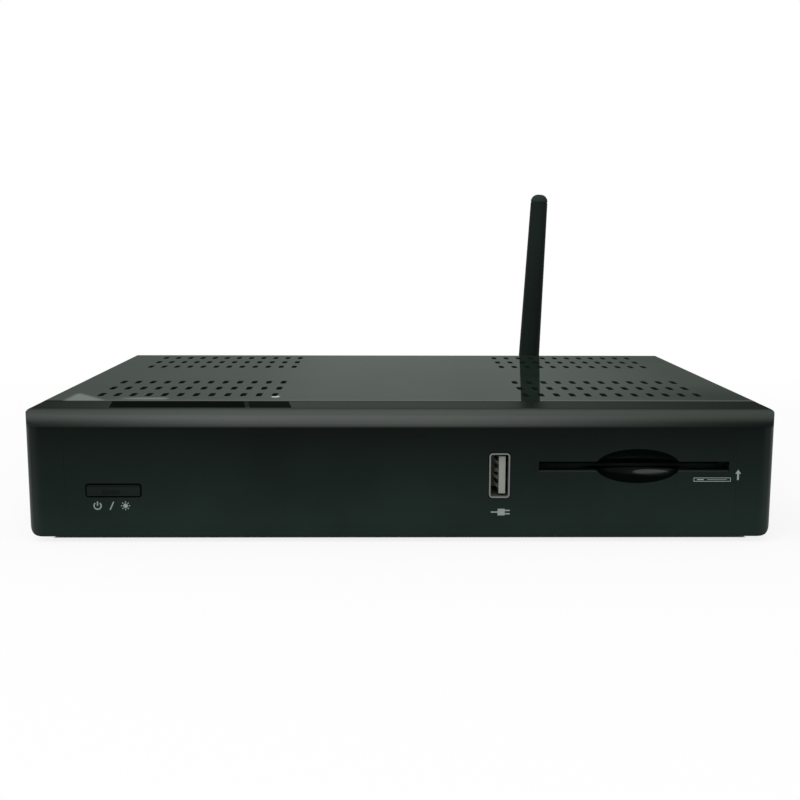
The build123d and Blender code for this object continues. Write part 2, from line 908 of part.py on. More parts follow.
with BuildPart() as top_cover:
    lid_length = body_depth - lid_front
    with BuildSketch(front_plane(lid_front)) as shell:
        with Locations((0, lid_top)):
            Rectangle(
                2 * (half_width - lid_inset),
                lid_top - foot_height - lid_skirt_gap,
                align=(Align.CENTER, Align.MAX),
            )
        fillet(shell.vertices().group_by(Axis.Y)[-1], bend_inside + sheet)
    extrude(amount=-lid_length)
    with BuildSketch(front_plane(lid_front)) as inside:
        with Locations((0, lid_under)):
            Rectangle(
                2 * (half_width - lid_inset - sheet),
                lid_under - foot_height - lid_skirt_gap,
                align=(Align.CENTER, Align.MAX),
            )
        fillet(inside.vertices().group_by(Axis.Y)[-1], bend_inside)
    extrude(amount=-lid_length, mode=Mode.SUBTRACT)
    # Lip folded down over the rear panel.
    block(
        (-half_width + top_corner, half_width - top_corner),
        (body_depth - sheet, body_depth),
        (lid_top - lip_height, lid_top),
    )
    lip_edge = top_cover.edges().filter_by(Axis.X).group_by(Axis.Z)[-1].sort_by(Axis.Y)[-1]
    fillet(lip_edge, bend_radius)
    for x, z in lip_screws:
        rod(x, z, (body_depth - sheet, body_depth), screw_radius + screw_hole_gap, Mode.SUBTRACT)
    # Four groups of vent slots.
    vent_x = half_width - vent_inset
    with BuildSketch(Plane.XY.offset(lid_top)):
        for x in (-vent_x, vent_x):
            for depth in (front_vent_depth, body_depth - rear_vent_setback):
                with Locations((x, at(depth))):
                    with GridLocations(vent_pitch_x, vent_pitch_y, vent_columns, vent_rows):
                        SlotOverall(vent_length, vent_width, rotation=90)
    extrude(amount=-sheet, mode=Mode.SUBTRACT)
save(top_cover, "top_cover")

foot_x = half_width - foot_inset_x
foot_depths = (lid_front + foot_inset_y, panel_outside - foot_inset_y)
with BuildPart() as rubber_feet:
    for x in (-foot_x, foot_x):
        for depth in foot_depths:
            post(x, depth, (0, foot_height), foot_radius)
    chamfer(rubber_feet.faces().group_by(Axis.Z)[0].edges(), foot_chamfer)
save(rubber_feet, "rubber_feet")

with BuildPart() as case_screws:
    for x, depth in bezel_screws:
        post(x, depth, (foot_height - screw_head, foot_height), screw_head_radius)
        post(x, depth, (foot_height, floor_top + pad_thickness), screw_radius)
    for x, z in lip_screws:
        rod(x, z, (body_depth, body_depth + screw_head), screw_head_radius)
        rod(x, z, (body_depth - screw_length, body_depth), screw_radius)
save(case_screws, "case_screws")

with BuildPart() as board_standoffs:
    for x, depth in main_screws:
        post(x, depth, (floor_top, board_bottom), standoff_radius)
    for x, depth in main_screws:
        post(x, depth, (floor_top, board_bottom), screw_radius + thread_gap, Mode.SUBTRACT)
save(board_standoffs, "board_standoffs")

with BuildPart() as board_screws:
    for x, depth in main_screws:
        post(x, depth, (board_top, board_top + screw_head), screw_head_radius)
        post(x, depth, (board_top - screw_length, board_top), screw_radius)
    for x, depth in reader_pillars:
        post(x, depth, (reader_bottom, reader_bottom + screw_head), screw_head_radius)
        post(x, depth, (reader_bottom - screw_length, reader_bottom), screw_radius)
    for x, z in front_screws:
        rod(x, z, (front_board_back, front_board_back + screw_head), screw_head_radius)
        rod(x, z, (front_board_back - screw_length, front_board_back), screw_radius)
save(board_screws, "board_screws")

# ---- Main board and what stands on it ----

with BuildPart() as main_board:
    block(
        (main_board_left, main_board_right), (main_board_front, main_board_back), (board_bottom, board_top)
    )
    for x, depth in main_screws:
        post(x, depth, (board_bottom, board_top), screw_radius + screw_hole_gap, Mode.SUBTRACT)
save(main_board, "main_board")

processor_depth = main_board_front + processor_setback
sink_bottom = board_top + processor_height
with BuildPart() as processor:
    block(
        around(processor_x, processor_side),
        around(processor_depth, processor_side),
        (board_top, sink_bottom),
    )
save(processor, "processor")

with BuildPart() as heat_sink:
    block(
        around(processor_x, heat_sink_side),
        around(processor_depth, heat_sink_side),
        (sink_bottom, sink_bottom + heat_sink_base),
    )
    for index in range(fin_count):
        fin_x = processor_x + (index / (fin_count - 1) - 0.5) * (heat_sink_side - fin)
        block(
            around(fin_x, fin),
            around(processor_depth, heat_sink_side),
            (sink_bottom, sink_bottom + heat_sink_height),
        )
save(heat_sink, "heat_sink")

with BuildPart() as memory_chips:
    for side in (-0.5, 0.5):
        block(
            around(memory_x, memory_width),
            around(processor_depth + side * memory_pitch, memory_length),
            (board_top, board_top + memory_height),
        )
save(memory_chips, "memory_chips")

with BuildPart() as capacitors:
    for column in range(2):
        for row in range(capacitor_rows):
            post(
                main_board_right - capacitor_inset - column * capacitor_pitch_x,
                main_board_front + capacitor_setback + row * capacitor_pitch_y,
                (board_top, board_top + capacitor_height),
                capacitor_radius,
            )
    chamfer(capacitors.faces().group_by(Axis.Z)[-1].edges(), capacitor_chamfer)
save(capacitors, "capacitors")

with BuildPart() as inductors:
    for index in range(inductor_count):
        block(
            around(slot_x, inductor_side),
            around(main_board_front + inductor_setback + index * inductor_pitch, inductor_side),
            (board_top, board_top + inductor_height),
        )
save(inductors, "inductors")

# ---- Satellite tuner ----

tuner_depth = (main_board_back - tuner_length, main_board_back)
f_z = board_top + tuner_socket_z
f_thread_start = panel_inside + f_relief
f_end = f_thread_start + f_thread_length

with BuildPart() as tuner_can:
    block((tuner_left, tuner_right), tuner_depth, (board_top, board_top + tuner_height))
save(tuner_can, "tuner_can")

with BuildPart() as tuner_sockets:
    for x in tuner_socket_xs:
        rod(x, f_z, (main_board_back, panel_inside), f_flange_radius)
        rod(x, f_z, (panel_inside, f_thread_start), f_relief_radius)
        rod(x, f_z, (f_thread_start, f_end), f_thread_radius)
        rod(x, f_z, (f_end - f_bore_depth, f_end), f_bore_radius, Mode.SUBTRACT)
save(tuner_sockets, "tuner_sockets")

with BuildPart() as tuner_insulators:
    for x in tuner_socket_xs:
        rod(x, f_z, (f_end - f_bore_depth, f_end - fit_gap), f_bore_radius)
        rod(
            x,
            f_z,
            (f_end - f_bore_depth + f_contact_floor, f_end - fit_gap),
            f_contact_radius,
            Mode.SUBTRACT,
        )
save(tuner_insulators, "tuner_insulators")

# ---- Picture, network and sound sockets ----

hdmi_z = board_top + hdmi_height / 2
hdmi_front = panel_outside + hdmi_proud - hdmi_length
with BuildPart() as hdmi_shell_piece:
    with BuildSketch(front_plane(hdmi_front)):
        with Locations((hdmi_x, hdmi_z)):
            RectangleRounded(hdmi_width, hdmi_height, 2 * hdmi_shell)
    extrude(amount=-hdmi_length)
    with BuildSketch(front_plane(hdmi_front + hdmi_shell)):
        with Locations((hdmi_x, hdmi_z)):
            RectangleRounded(hdmi_width - 2 * hdmi_shell, hdmi_height - 2 * hdmi_shell, hdmi_shell)
    extrude(amount=-(hdmi_length - hdmi_shell), mode=Mode.SUBTRACT)
save(hdmi_shell_piece, "hdmi_shell")

with BuildPart() as hdmi_tongue:
    block(
        around(hdmi_x, hdmi_tongue_width),
        (hdmi_front + hdmi_shell, panel_outside),
        around(hdmi_z, hdmi_tongue_thickness),
    )
    block(
        around(hdmi_x, hdmi_tongue_width + 2 * hdmi_shell),
        (hdmi_front + hdmi_shell, hdmi_front + hdmi_shell + hdmi_base),
        around(hdmi_z, hdmi_height - 2 * hdmi_shell - 2 * fit_gap),
    )
save(hdmi_tongue, "hdmi_tongue")

network_front = panel_outside + network_proud - network_length
network_end = network_front + network_length
network_mouth_z = board_top + network_bore_z
with BuildPart() as network_socket:
    block(
        around(network_x, network_width),
        (network_front, network_end),
        (board_top, board_top + network_height),
    )
    block(
        around(network_x, network_bore_width),
        (network_end - network_bore_depth, network_end),
        (network_mouth_z, network_mouth_z + network_bore_height),
        Mode.SUBTRACT,
    )
    block(
        around(network_x, network_latch_width),
        (network_end - network_bore_depth, network_end),
        (network_mouth_z - network_latch_height, network_mouth_z),
        Mode.SUBTRACT,
    )
save(network_socket, "network_socket")

with BuildPart() as network_contacts:
    ceiling = network_mouth_z + network_bore_height
    for index in range(network_pins):
        block(
            around(network_x + (index - (network_pins - 1) / 2) * network_pin_pitch, contact_thickness),
            (network_end - network_bore_depth, network_end - network_pin_setback),
            (ceiling - network_pin_drop, ceiling),
        )
save(network_contacts, "network_contacts")

sound_z = board_top + phono_z
phono_xs = [phono_x + (index - (phono_count - 1) / 2) * phono_pitch for index in range(phono_count)]
phono_front = panel_inside - 2 * fit_gap
collar_end = phono_front + phono_collar
ring_end = collar_end + phono_ring_length
with BuildPart() as phono_block:
    block(
        around(phono_x, phono_count * phono_pitch),
        (phono_front - phono_block_length, phono_front),
        (board_top, board_top + phono_block_height),
    )
    for x in phono_xs:
        rod(x, sound_z, (phono_front, collar_end), phono_collar_radius)
save(phono_block, "phono_block")

with BuildPart() as phono_rings:
    for x in phono_xs:
        rod(x, sound_z, (collar_end, ring_end), phono_ring_radius)
        rod(x, sound_z, (collar_end, ring_end), phono_ring_radius - phono_ring_wall, Mode.SUBTRACT)
save(phono_rings, "phono_rings")

for x, colour in zip(phono_xs, ("red", "white", "yellow", "orange")):
    with BuildPart() as phono_insert:
        rod(x, sound_z, (collar_end, ring_end - 2 * fit_gap), phono_ring_radius - phono_ring_wall)
        rod(x, sound_z, (collar_end, ring_end - 2 * fit_gap), phono_pin_radius, Mode.SUBTRACT)
    save(phono_insert, f"phono_insert_{colour}")

# ---- Power: inlet, switch and leads ----

jack_z = board_top + dc_z
jack_front = phono_front
jack_end = jack_front + dc_nose
with BuildPart() as dc_jack:
    block(around(dc_x, dc_width), (jack_front - dc_length, jack_front), (board_top, board_top + dc_height))
    rod(dc_x, jack_z, (jack_front, jack_end), dc_nose_radius)
    rod(dc_x, jack_z, (jack_end - dc_bore_depth, jack_end), dc_bore_radius, Mode.SUBTRACT)
save(dc_jack, "dc_jack")

with BuildPart() as dc_jack_pin:
    rod(dc_x, jack_z, (jack_end - dc_bore_depth, jack_end - dc_pin_setback), dc_pin_radius)
save(dc_jack_pin, "dc_jack_pin")

switch_front = panel_outside - switch_length
flange_end = panel_outside + switch_flange_thickness
rocker_bore_width = switch_width - 2 * switch_wall_x
rocker_bore_height = switch_height - 2 * switch_wall_z
rocker_height = rocker_bore_height - 2 * rocker_gap
pivot_depth = panel_outside - rocker_pivot_depth
pin_half = rocker_height / 2 + rocker_gap + rocker_pin_reach
with BuildPart() as switch_frame:
    block(around(switch_x, switch_width), (switch_front, panel_outside), around(switch_z, switch_height))
    block(
        around(switch_x, switch_width + 2 * switch_flange),
        (panel_outside, flange_end),
        around(switch_z, switch_height + 2 * switch_flange),
    )
    fillet(switch_frame.edges().group_by(Axis.Y)[-1], sheet)
    block(
        around(switch_x, rocker_bore_width),
        (flange_end - switch_bore_depth, flange_end),
        around(switch_z, rocker_bore_height),
        Mode.SUBTRACT,
    )
    pin_hole_z = around(switch_z, 2 * (pin_half + fit_gap))
    post(switch_x, pivot_depth, pin_hole_z, rocker_pin_radius + running_gap, Mode.SUBTRACT)
save(switch_frame, "switch_frame")

rocker_plane = Plane(
    origin=(switch_x, at(pivot_depth), switch_z),
    x_dir=(cos(radians(rocker_angle)), sin(radians(rocker_angle)), 0),
    z_dir=(0, 0, 1),
)
with BuildPart() as switch_rocker:
    with BuildSketch(rocker_plane):
        Circle(rocker_radius)
        wing = rocker_valley + rocker_radius * tan(radians(rocker_angle))
        with BuildLine():
            Polyline(
                (-rocker_radius, -rocker_root),
                (rocker_radius, -rocker_root),
                (rocker_radius, wing),
                (0, rocker_valley),
                (-rocker_radius, wing),
                close=True,
            )
        make_face(mode=Mode.INTERSECT)
    extrude(amount=rocker_height / 2, both=True)
    post(switch_x, pivot_depth, around(switch_z, 2 * pin_half), rocker_pin_radius)
save(switch_rocker, "switch_rocker")

terminal_xs = (switch_x - terminal_spacing / 2, switch_x + terminal_spacing / 2)
terminal_front = switch_front - terminal_length
with BuildPart() as switch_terminals:
    for x in terminal_xs:
        block(around(x, sheet), (terminal_front, switch_front), around(switch_z, terminal_width))
save(switch_terminals, "switch_terminals")

with BuildPart() as switch_leads:
    for x in terminal_xs:
        lead_points = [
            (x, at(terminal_front), switch_z),
            (x, at(terminal_front - lead_straight), switch_z),
            (x, at(terminal_front - lead_reach), switch_z - lead_dip),
            (x, at(terminal_front - lead_reach), board_top),
        ]
        with BuildLine():
            FilletPolyline(lead_points, radius=bend_radii(lead_points))
        with BuildSketch(front_plane(terminal_front)):
            with Locations((x, switch_z)):
                Circle(lead_radius)
        sweep()
save(switch_leads, "switch_leads")

# ---- Wi-Fi board, pigtail and antenna ----

wifi_x = antenna_x - wifi_offset
wifi_top = board_top + wifi_board
wifi_depth = main_board_back - wifi_setback - wifi_length / 2
plug_x = wifi_x + wifi_shield_width / 2 + plug_gap
with BuildPart() as wifi_module:
    block(around(wifi_x, wifi_width), around(wifi_depth, wifi_length), (board_top, wifi_top))
    post(plug_x, wifi_depth, (wifi_top, wifi_top + plug_height), plug_radius)
save(wifi_module, "wifi_module")

with BuildPart() as wifi_shield:
    block(
        around(wifi_x - shield_offset, wifi_shield_width),
        around(wifi_depth, wifi_shield_length),
        (wifi_top, wifi_top + wifi_shield_height),
    )
save(wifi_shield, "wifi_shield")

crimp_start = panel_inside - socket_flange - crimp_length
pigtail_points = [
    (plug_x, at(wifi_depth), wifi_top + plug_height),
    (plug_x, at(wifi_depth), wifi_top + plug_height + pigtail_rise),
    (antenna_x, at(crimp_start - pigtail_straight), antenna_z),
    (antenna_x, at(crimp_start), antenna_z),
]
with BuildPart() as antenna_pigtail:
    with BuildLine():
        FilletPolyline(pigtail_points, radius=bend_radii(pigtail_points))
    with BuildSketch(Plane.XY.offset(wifi_top + plug_height)):
        with Locations((plug_x, at(wifi_depth))):
            Circle(coax_radius)
    sweep()
save(antenna_pigtail, "antenna_pigtail")

barrel_end = coupling_end - coupling_flange - ferrule_head - 3 * fit_gap
with BuildPart() as antenna_socket:
    rod(antenna_x, antenna_z, (crimp_start, panel_inside - socket_flange), crimp_radius)
    rod(antenna_x, antenna_z, (panel_inside - socket_flange, panel_inside), socket_flange_radius)
    rod(antenna_x, antenna_z, (panel_inside, barrel_end), socket_radius)
save(antenna_socket, "antenna_socket")

with BuildPart() as antenna_socket_nut:
    with BuildSketch(front_plane(panel_outside)):
        with Locations((antenna_x, antenna_z)):
            RegularPolygon(socket_nut_flats / 2, 6, major_radius=False)
            Circle(socket_radius + thread_gap, mode=Mode.SUBTRACT)
    extrude(amount=-socket_nut)
save(antenna_socket_nut, "antenna_socket_nut")

coupling_shoulder = coupling_end - coupling_flange
with BuildPart() as antenna_coupling_nut:
    rod(antenna_x, antenna_z, (coupling_front, coupling_end), coupling_radius)
    chamfer(antenna_coupling_nut.edges().filter_by(GeomType.CIRCLE), coupling_chamfer)
    rod(
        antenna_x,
        antenna_z,
        (coupling_front, coupling_shoulder),
        socket_radius + thread_gap,
        Mode.SUBTRACT,
    )
    rod(
        antenna_x,
        antenna_z,
        (coupling_shoulder, coupling_end),
        ferrule_radius + running_gap,
        Mode.SUBTRACT,
    )
save(antenna_coupling_nut, "antenna_coupling_nut")

# The hinge frame has its origin on the hinge pin, X along the pin and Z along the upright whip.
lean = radians(antenna_lean)
hinge_frame = Plane(
    origin=(antenna_x, at(hinge_depth), antenna_z),
    x_dir=(cos(lean), 0, -sin(lean)),
    z_dir=(sin(lean), 0, cos(lean)),
)
knuckle_length = hinge_depth - knuckle_front
fork_depth = knuckle_radius + shoulder_gap
along_pin = (0, 90, 0)
along_swivel = (90, 0, 0)
with BuildPart(hinge_frame) as antenna_base:
    with Locations((0, -knuckle_length / 2, 0)):
        Cylinder(knuckle_radius, knuckle_length, rotation=along_swivel)
    Cylinder(knuckle_radius, 2 * knuckle_radius, rotation=along_pin)
    with Locations((0, (knuckle_radius - fork_depth) / 2, 0)):
        Box(knuckle_slot, knuckle_radius + fork_depth, 2 * knuckle_radius, mode=Mode.SUBTRACT)
    neck_length = knuckle_front - coupling_shoulder + fit_gap
    with Locations((0, -knuckle_length - neck_length / 2, 0)):
        Cylinder(ferrule_radius, neck_length, rotation=along_swivel)
    with Locations((0, -knuckle_length - neck_length - ferrule_head / 2, 0)):
        Cylinder(ferrule_head_radius, ferrule_head, rotation=along_swivel)
    Cylinder(hinge_pin_radius, 2 * knuckle_radius, rotation=along_pin, mode=Mode.SUBTRACT)
save(antenna_base, "antenna_base")

with BuildPart(hinge_frame) as antenna_hinge_pin:
    Cylinder(hinge_pin_radius, 2 * knuckle_radius - fit_gap, rotation=along_pin)
save(antenna_hinge_pin, "antenna_hinge_pin")

whip_start = knuckle_radius + shoulder_gap
whip_length = antenna_length - whip_start
tongue_radius = antenna_root_radius - tongue_gap
tongue_thickness = knuckle_slot - 2 * tongue_gap
with BuildPart(hinge_frame) as antenna_whip:
    with Locations((0, 0, whip_start)):
        Cone(
            antenna_root_radius,
            antenna_tip_radius,
            whip_length,
            align=(Align.CENTER, Align.CENTER, Align.MIN),
        )
    fillet(antenna_whip.edges().sort_by(Axis.Z)[-1], antenna_tip_rounding)
    with Locations((0, 0, antenna_length - antenna_cap)):
        Torus(antenna_tip_radius, antenna_seam, mode=Mode.SUBTRACT)
    Cylinder(tongue_radius, tongue_thickness, rotation=along_pin)
    with Locations((0, 0, whip_start / 2)):
        Box(tongue_thickness, 2 * tongue_radius, whip_start)
    Cylinder(
        hinge_pin_radius + running_gap, 2 * antenna_root_radius, rotation=along_pin, mode=Mode.SUBTRACT
    )
save(antenna_whip, "antenna_whip")

# ---- Ribbon cable between the boards ----

front_header_z = board_top + header_height
main_header_depth = main_board_front + header_overhang
ribbon_start = front_board_back + header_length
main_header_z = board_top + header_height / 2
with BuildPart() as ribbon_headers:
    header_width = ribbon_width + 2 * header_overhang
    block(
        around(ribbon_x, header_width),
        (front_board_back, ribbon_start),
        around(front_header_z, header_height),
    )
    block(
        around(ribbon_x, header_width),
        (main_header_depth, main_header_depth + header_length),
        (board_top, board_top + header_height),
    )
save(ribbon_headers, "ribbon_headers")

ribbon_run = main_header_depth - ribbon_start
ribbon_points = [
    (at(ribbon_start), front_header_z),
    (at(ribbon_start + ribbon_run / 5), front_header_z),
    (at(ribbon_start + ribbon_run / 2), front_header_z - ribbon_sag),
    (at(main_header_depth - ribbon_run / 5), main_header_z),
    (at(main_header_depth), main_header_z),
]
with BuildPart() as ribbon_cable:
    with BuildSketch(Plane.YZ.offset(ribbon_x)):
        with BuildLine() as ribbon_line:
            FilletPolyline(ribbon_points, radius=ribbon_run / 7)
        trace(line_width=ribbon_thickness)
    extrude(amount=ribbon_width / 2, both=True)
save(ribbon_cable, "ribbon_cable")
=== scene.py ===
from math import cos, pi, radians, sin

import bmesh
import bpy
from mathutils import Matrix, Vector


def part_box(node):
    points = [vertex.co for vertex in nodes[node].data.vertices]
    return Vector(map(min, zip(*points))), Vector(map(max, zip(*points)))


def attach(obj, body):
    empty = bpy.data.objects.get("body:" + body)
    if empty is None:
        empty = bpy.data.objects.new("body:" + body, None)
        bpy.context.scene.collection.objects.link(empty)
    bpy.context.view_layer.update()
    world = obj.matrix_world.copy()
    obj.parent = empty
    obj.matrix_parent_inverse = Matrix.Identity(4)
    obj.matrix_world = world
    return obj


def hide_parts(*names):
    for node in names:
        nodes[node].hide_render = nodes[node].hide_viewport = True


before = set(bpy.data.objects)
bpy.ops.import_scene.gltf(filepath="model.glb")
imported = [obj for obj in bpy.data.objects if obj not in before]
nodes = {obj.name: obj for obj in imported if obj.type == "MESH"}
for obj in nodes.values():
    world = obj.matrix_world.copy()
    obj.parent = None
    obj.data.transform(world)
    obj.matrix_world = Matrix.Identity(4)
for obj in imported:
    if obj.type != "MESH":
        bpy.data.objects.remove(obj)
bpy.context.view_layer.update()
MM = 0.001


# ---- Camera, low in front of the receiver ----

def aim_camera():
    place = Vector((-4.38, -404.69, 90.68)) * MM
    pitch, yaw, roll = 0.149, -0.0122, 0.0026
    right = Vector((cos(yaw), sin(yaw), 0))
    level = Vector((-sin(yaw), cos(yaw), 0))
    ahead = level * cos(pitch) - Vector((0, 0, 1)) * sin(pitch)
    up = level * sin(pitch) + Vector((0, 0, 1)) * cos(pitch)
    side = right * cos(roll) + up * sin(roll)
    top = up * cos(roll) - right * sin(roll)
    data = bpy.data.cameras.new("camera")
    data.sensor_width = 36.0
    data.lens = 50.02
    data.clip_start = 0.01
    camera = bpy.data.objects.new("camera", data)
    bpy.context.scene.collection.objects.link(camera)
    turn = Matrix((side, top, -ahead)).transposed()
    camera.matrix_world = Matrix.Translation(place) @ turn.to_4x4()
    bpy.context.scene.camera = camera


aim_camera()
bpy.context.scene.view_settings.view_transform = "Standard"


# ---- Places taken from the frame, in millimetres ----

def limits(node):
    """A node's lowest and highest X, Y and Z."""
    low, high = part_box(node)
    return [(low[axis] / MM, high[axis] / MM) for axis in range(3)]


bezel_x, bezel_y, _ = limits("front_bezel")
usb_x, usb_y, _ = limits("usb_shell")
button_x, _, button_z = limits("standby_button")
face = limits("front_fascia")[1][0]  # plane of the flat front
lid_back = limits("top_cover")[1][1]
whip_top = limits("antenna_whip")[2][1]
brow_low = 34.8  # lower edge of the curved brow
brow_run = 6.0  # depth at which the brow becomes flat
scoop_x, scoop_z = 69.6, 23.05  # middle of the thumb scoop
scoop_half_width, scoop_half_height = 12.55, 5.15
label_break = -46.5  # middle of the gap between the long and the short part of the label


# ---- Materials ----

class Graph:
    """A node material whose shader is a Principled BSDF."""

    def __init__(self, name):
        self.material = bpy.data.materials.new(name)
        self.material.use_nodes = True
        self.tree = self.material.node_tree
        self.shader = self.tree.nodes["Principled BSDF"]
        self.place = self.add("ShaderNodeTexCoord").outputs["Object"]
        self.colour = None

    def add(self, kind, **values):
        node = self.tree.nodes.new(kind)
        for key, value in values.items():
            setattr(node, key, value)
        return node

    def link(self, source, target):
        self.tree.links.new(source, target)

    def put(self, value, socket):
        """A link or a plain number into a socket."""
        if hasattr(value, "links"):
            self.link(value, socket)
        else:
            socket.default_value = value

    def set(self, socket, value):
        self.shader.inputs[socket].default_value = value

    def stretched(self, scale):
        """The object's own coordinates, stretched."""
        node = self.add("ShaderNodeMapping")
        node.inputs["Scale"].default_value = scale
        self.link(self.place, node.inputs["Vector"])
        return node.outputs["Vector"]

    def axes(self):
        """The object's own X, Y and Z in millimetres."""
        node = self.add("ShaderNodeSeparateXYZ")
        self.link(self.stretched((1000, 1000, 1000)), node.inputs["Vector"])
        return node.outputs["X"], node.outputs["Y"], node.outputs["Z"]

    def noise(self, scale, detail=3.0, rough=0.5, vector=None):
        node = self.add("ShaderNodeTexNoise")
        node.inputs["Scale"].default_value = scale
        node.inputs["Detail"].default_value = detail
        node.inputs["Roughness"].default_value = rough
        self.link(vector or self.place, node.inputs["Vector"])
        return node.outputs["Fac"]

    def remap(self, value, low, high, to_low=0.0, to_high=1.0, soft=False):
        node = self.add("ShaderNodeMapRange", interpolation_type="SMOOTHSTEP" if soft else "LINEAR")
        for key, number in (("From Min", low), ("From Max", high), ("To Min", to_low), ("To Max", to_high)):
            node.inputs[key].default_value = number
        self.link(value, node.inputs["Value"])
        return node.outputs["Result"]

    def math(self, operation, first, second=0.0):
        node = self.add("ShaderNodeMath", operation=operation)
        self.put(first, node.inputs[0])
        self.put(second, node.inputs[1])
        return node.outputs["Value"]

    def product(self, *values):
        result = values[0]
        for value in values[1:]:
            result = self.math("MULTIPLY", result, value)
        return result

    def oval(self, side_light_falloff, up, middle_x, middle_z, half_x, half_z, soft=0.04):
        """1 inside an oval and 0 outside."""
        parts = []
        for value, middle, half in ((side_light_falloff, middle_x, half_x), (up, middle_z, half_z)):
            offset = self.math("DIVIDE", self.math("SUBTRACT", value, middle), half)
            parts.append(self.math("MULTIPLY", offset, offset))
        return self.remap(self.math("ADD", *parts), 1 + soft, 1 - soft, soft=True)

    def mix(self, amount, first, second):
        node = self.add("ShaderNodeMix", data_type="RGBA")
        for socket, value in ((node.inputs[0], amount), (node.inputs[6], first), (node.inputs[7], second)):
            self.put((*value, 1.0) if isinstance(value, tuple) else value, socket)
        return node.outputs[2]

    def bump(self, height, distance, before=None):
        node = self.add("ShaderNodeBump")
        node.inputs["Distance"].default_value = distance
        self.link(height, node.inputs["Height"])
        if before is not None:
            self.link(before, node.inputs["Normal"])
        return node.outputs["Normal"]

    def recolour(self, colour):
        self.colour = colour
        self.link(colour, self.shader.inputs["Base Color"])

    def dim(self, factor):
        """The colour times a factor that changes over the surface."""
        node = self.add("ShaderNodeVectorMath", operation="SCALE")
        self.link(self.colour, node.inputs[0])
        self.put(factor, node.inputs["Scale"])
        self.recolour(node.outputs["Vector"])


def shade(tone, factor):
    return tuple(min(1.0, part * factor) for part in tone)


def finish_of(
    name, tone, rough, spread=0.06, specular=0.5, coat=0.0, coat_rough=0.05, metal=0.0,
    grain=1400.0, depth=0.006, wave=0.0, mottle=0.15, scratches=0.0, dust=0.0, stretch=(1, 1, 1),
):
    """A surface with grain, uneven roughness, faint colour changes, and scratches or dust where asked."""
    g = Graph(name)
    vector = g.stretched(stretch)
    broad = g.noise(38.0, 4.0, 0.55)
    fine = g.noise(grain, 2.0, 0.6, vector)
    colour = g.mix(g.remap(broad, 0.3, 0.7), shade(tone, 1 - mottle), shade(tone, 1 + mottle))
    both = g.math("ADD", g.math("MULTIPLY", broad, 0.7), g.math("MULTIPLY", fine, 0.3))
    roughness = g.remap(both, 0.3, 0.7, rough - spread, rough + spread)
    if scratches:
        line = g.noise(900.0, 1.0, 0.4, g.stretched((0.06, 1.0, 1.0)))
        roughness = g.math("ADD", roughness, g.remap(line, 0.66, 0.74, 0.0, scratches))
    if dust:
        speck = g.remap(g.noise(2600.0, 1.0, 0.5), 0.76, 0.82, 0.0, dust)
        colour = g.mix(speck, colour, (0.12, 0.12, 0.115))
    g.recolour(colour)
    g.link(roughness, g.shader.inputs["Roughness"])
    normal = g.bump(fine, depth * MM)
    if wave:
        swell = g.noise(24.0, 2.0, 0.5)
        normal = g.bump(swell, wave * MM, normal)
        if coat:
            g.link(g.bump(swell, wave * MM), g.shader.inputs["Coat Normal"])
    g.link(normal, g.shader.inputs["Normal"])
    g.set("Metallic", metal)
    g.set("Specular IOR Level", specular)
    g.set("Coat Weight", coat)
    g.set("Coat Roughness", coat_rough)
    return g


def side_light_falloff(g, x, left_end, right_end):
    """A factor that fades towards both sides of the case, scaling gloss and the brow's painted sheen to
    stand in for light that dims towards the sides.
    """
    right = g.remap(x, 0.0, 118.0, 1.0, right_end, soft=True)
    left = g.remap(x, -45.0, -118.0, 1.0, left_end, soft=True)
    return g.product(right, left)


def case_steel():
    """Black paint on the lid, glossy enough to mirror the antenna, with a polished patch at one corner."""
    g = finish_of("case_paint", (0.0124, 0.0192, 0.0150), 0.42, specular=0.0, coat=0.22, coat_rough=0.035,
                  grain=1100, depth=0.004, wave=0.012, scratches=0.12, dust=0.2)
    x, y, z = g.axes()
    depth = g.math("SUBTRACT", y, bezel_y[0])
    # A polished wedge lies behind the front edge, thinning towards the right.
    wedge_left, wedge_right = -102.5, -91.0
    wedge_back, wedge_front = 35.0, 20.5
    wedge_gloss, streak_gloss, chip_gloss = 0.26, 0.24, 0.9
    reach = g.remap(x, wedge_left, wedge_right, wedge_back, wedge_front)
    wedge = g.product(g.remap(g.math("SUBTRACT", reach, depth), -1.5, 2.5, soft=True),
                      g.remap(x, wedge_left - 2.1, wedge_left + 0.3, soft=True), wedge_gloss)
    # A short streak carries on from it, and a small chip in the paint shines beside the vents.
    streak_front, streak_back, streak_left, streak_right = 21.4, 26.6, -89.0, -71.5
    streak = g.product(g.remap(depth, streak_front, streak_front + 1.2, soft=True),
                       g.remap(depth, streak_back, streak_back - 1.6, soft=True),
                       g.remap(x, streak_left, streak_left + 7.0, soft=True),
                       g.remap(x, streak_right, streak_right - 2.5, soft=True), streak_gloss)
    chip = g.product(g.oval(x, depth, -39.4, 28.0, 1.3, 2.0, 0.5), chip_gloss)
    # The right half keeps its gloss at the back and loses it towards the front corner.
    right_front = g.product(g.remap(x, 52.0, 100.0, 0.0, 0.38), g.remap(depth, 60.0, 30.0))
    right = g.product(g.remap(x, 20.0, 50.0, 1.0, 1.13, soft=True), g.remap(x, 75.0, 100.0, 1.0, 0.87),
                      g.math("SUBTRACT", 1.0, right_front))
    left = g.remap(x, -22.0, -58.0, 1.0, 0.78, soft=True)
    # The front edge, where the sheet ends, is dull.
    edge = g.remap(depth, 19.0, 20.8, 0.05, 1.0, soft=True)
    lid_gloss = 0.215
    plain = g.product(side_light_falloff(g, x, 0.80, 0.54), right, left, edge, lid_gloss)
    gloss = g.math("ADD", g.math("ADD", plain, wedge), g.math("ADD", streak, chip))
    g.link(gloss, g.shader.inputs["Coat Weight"])
    return g


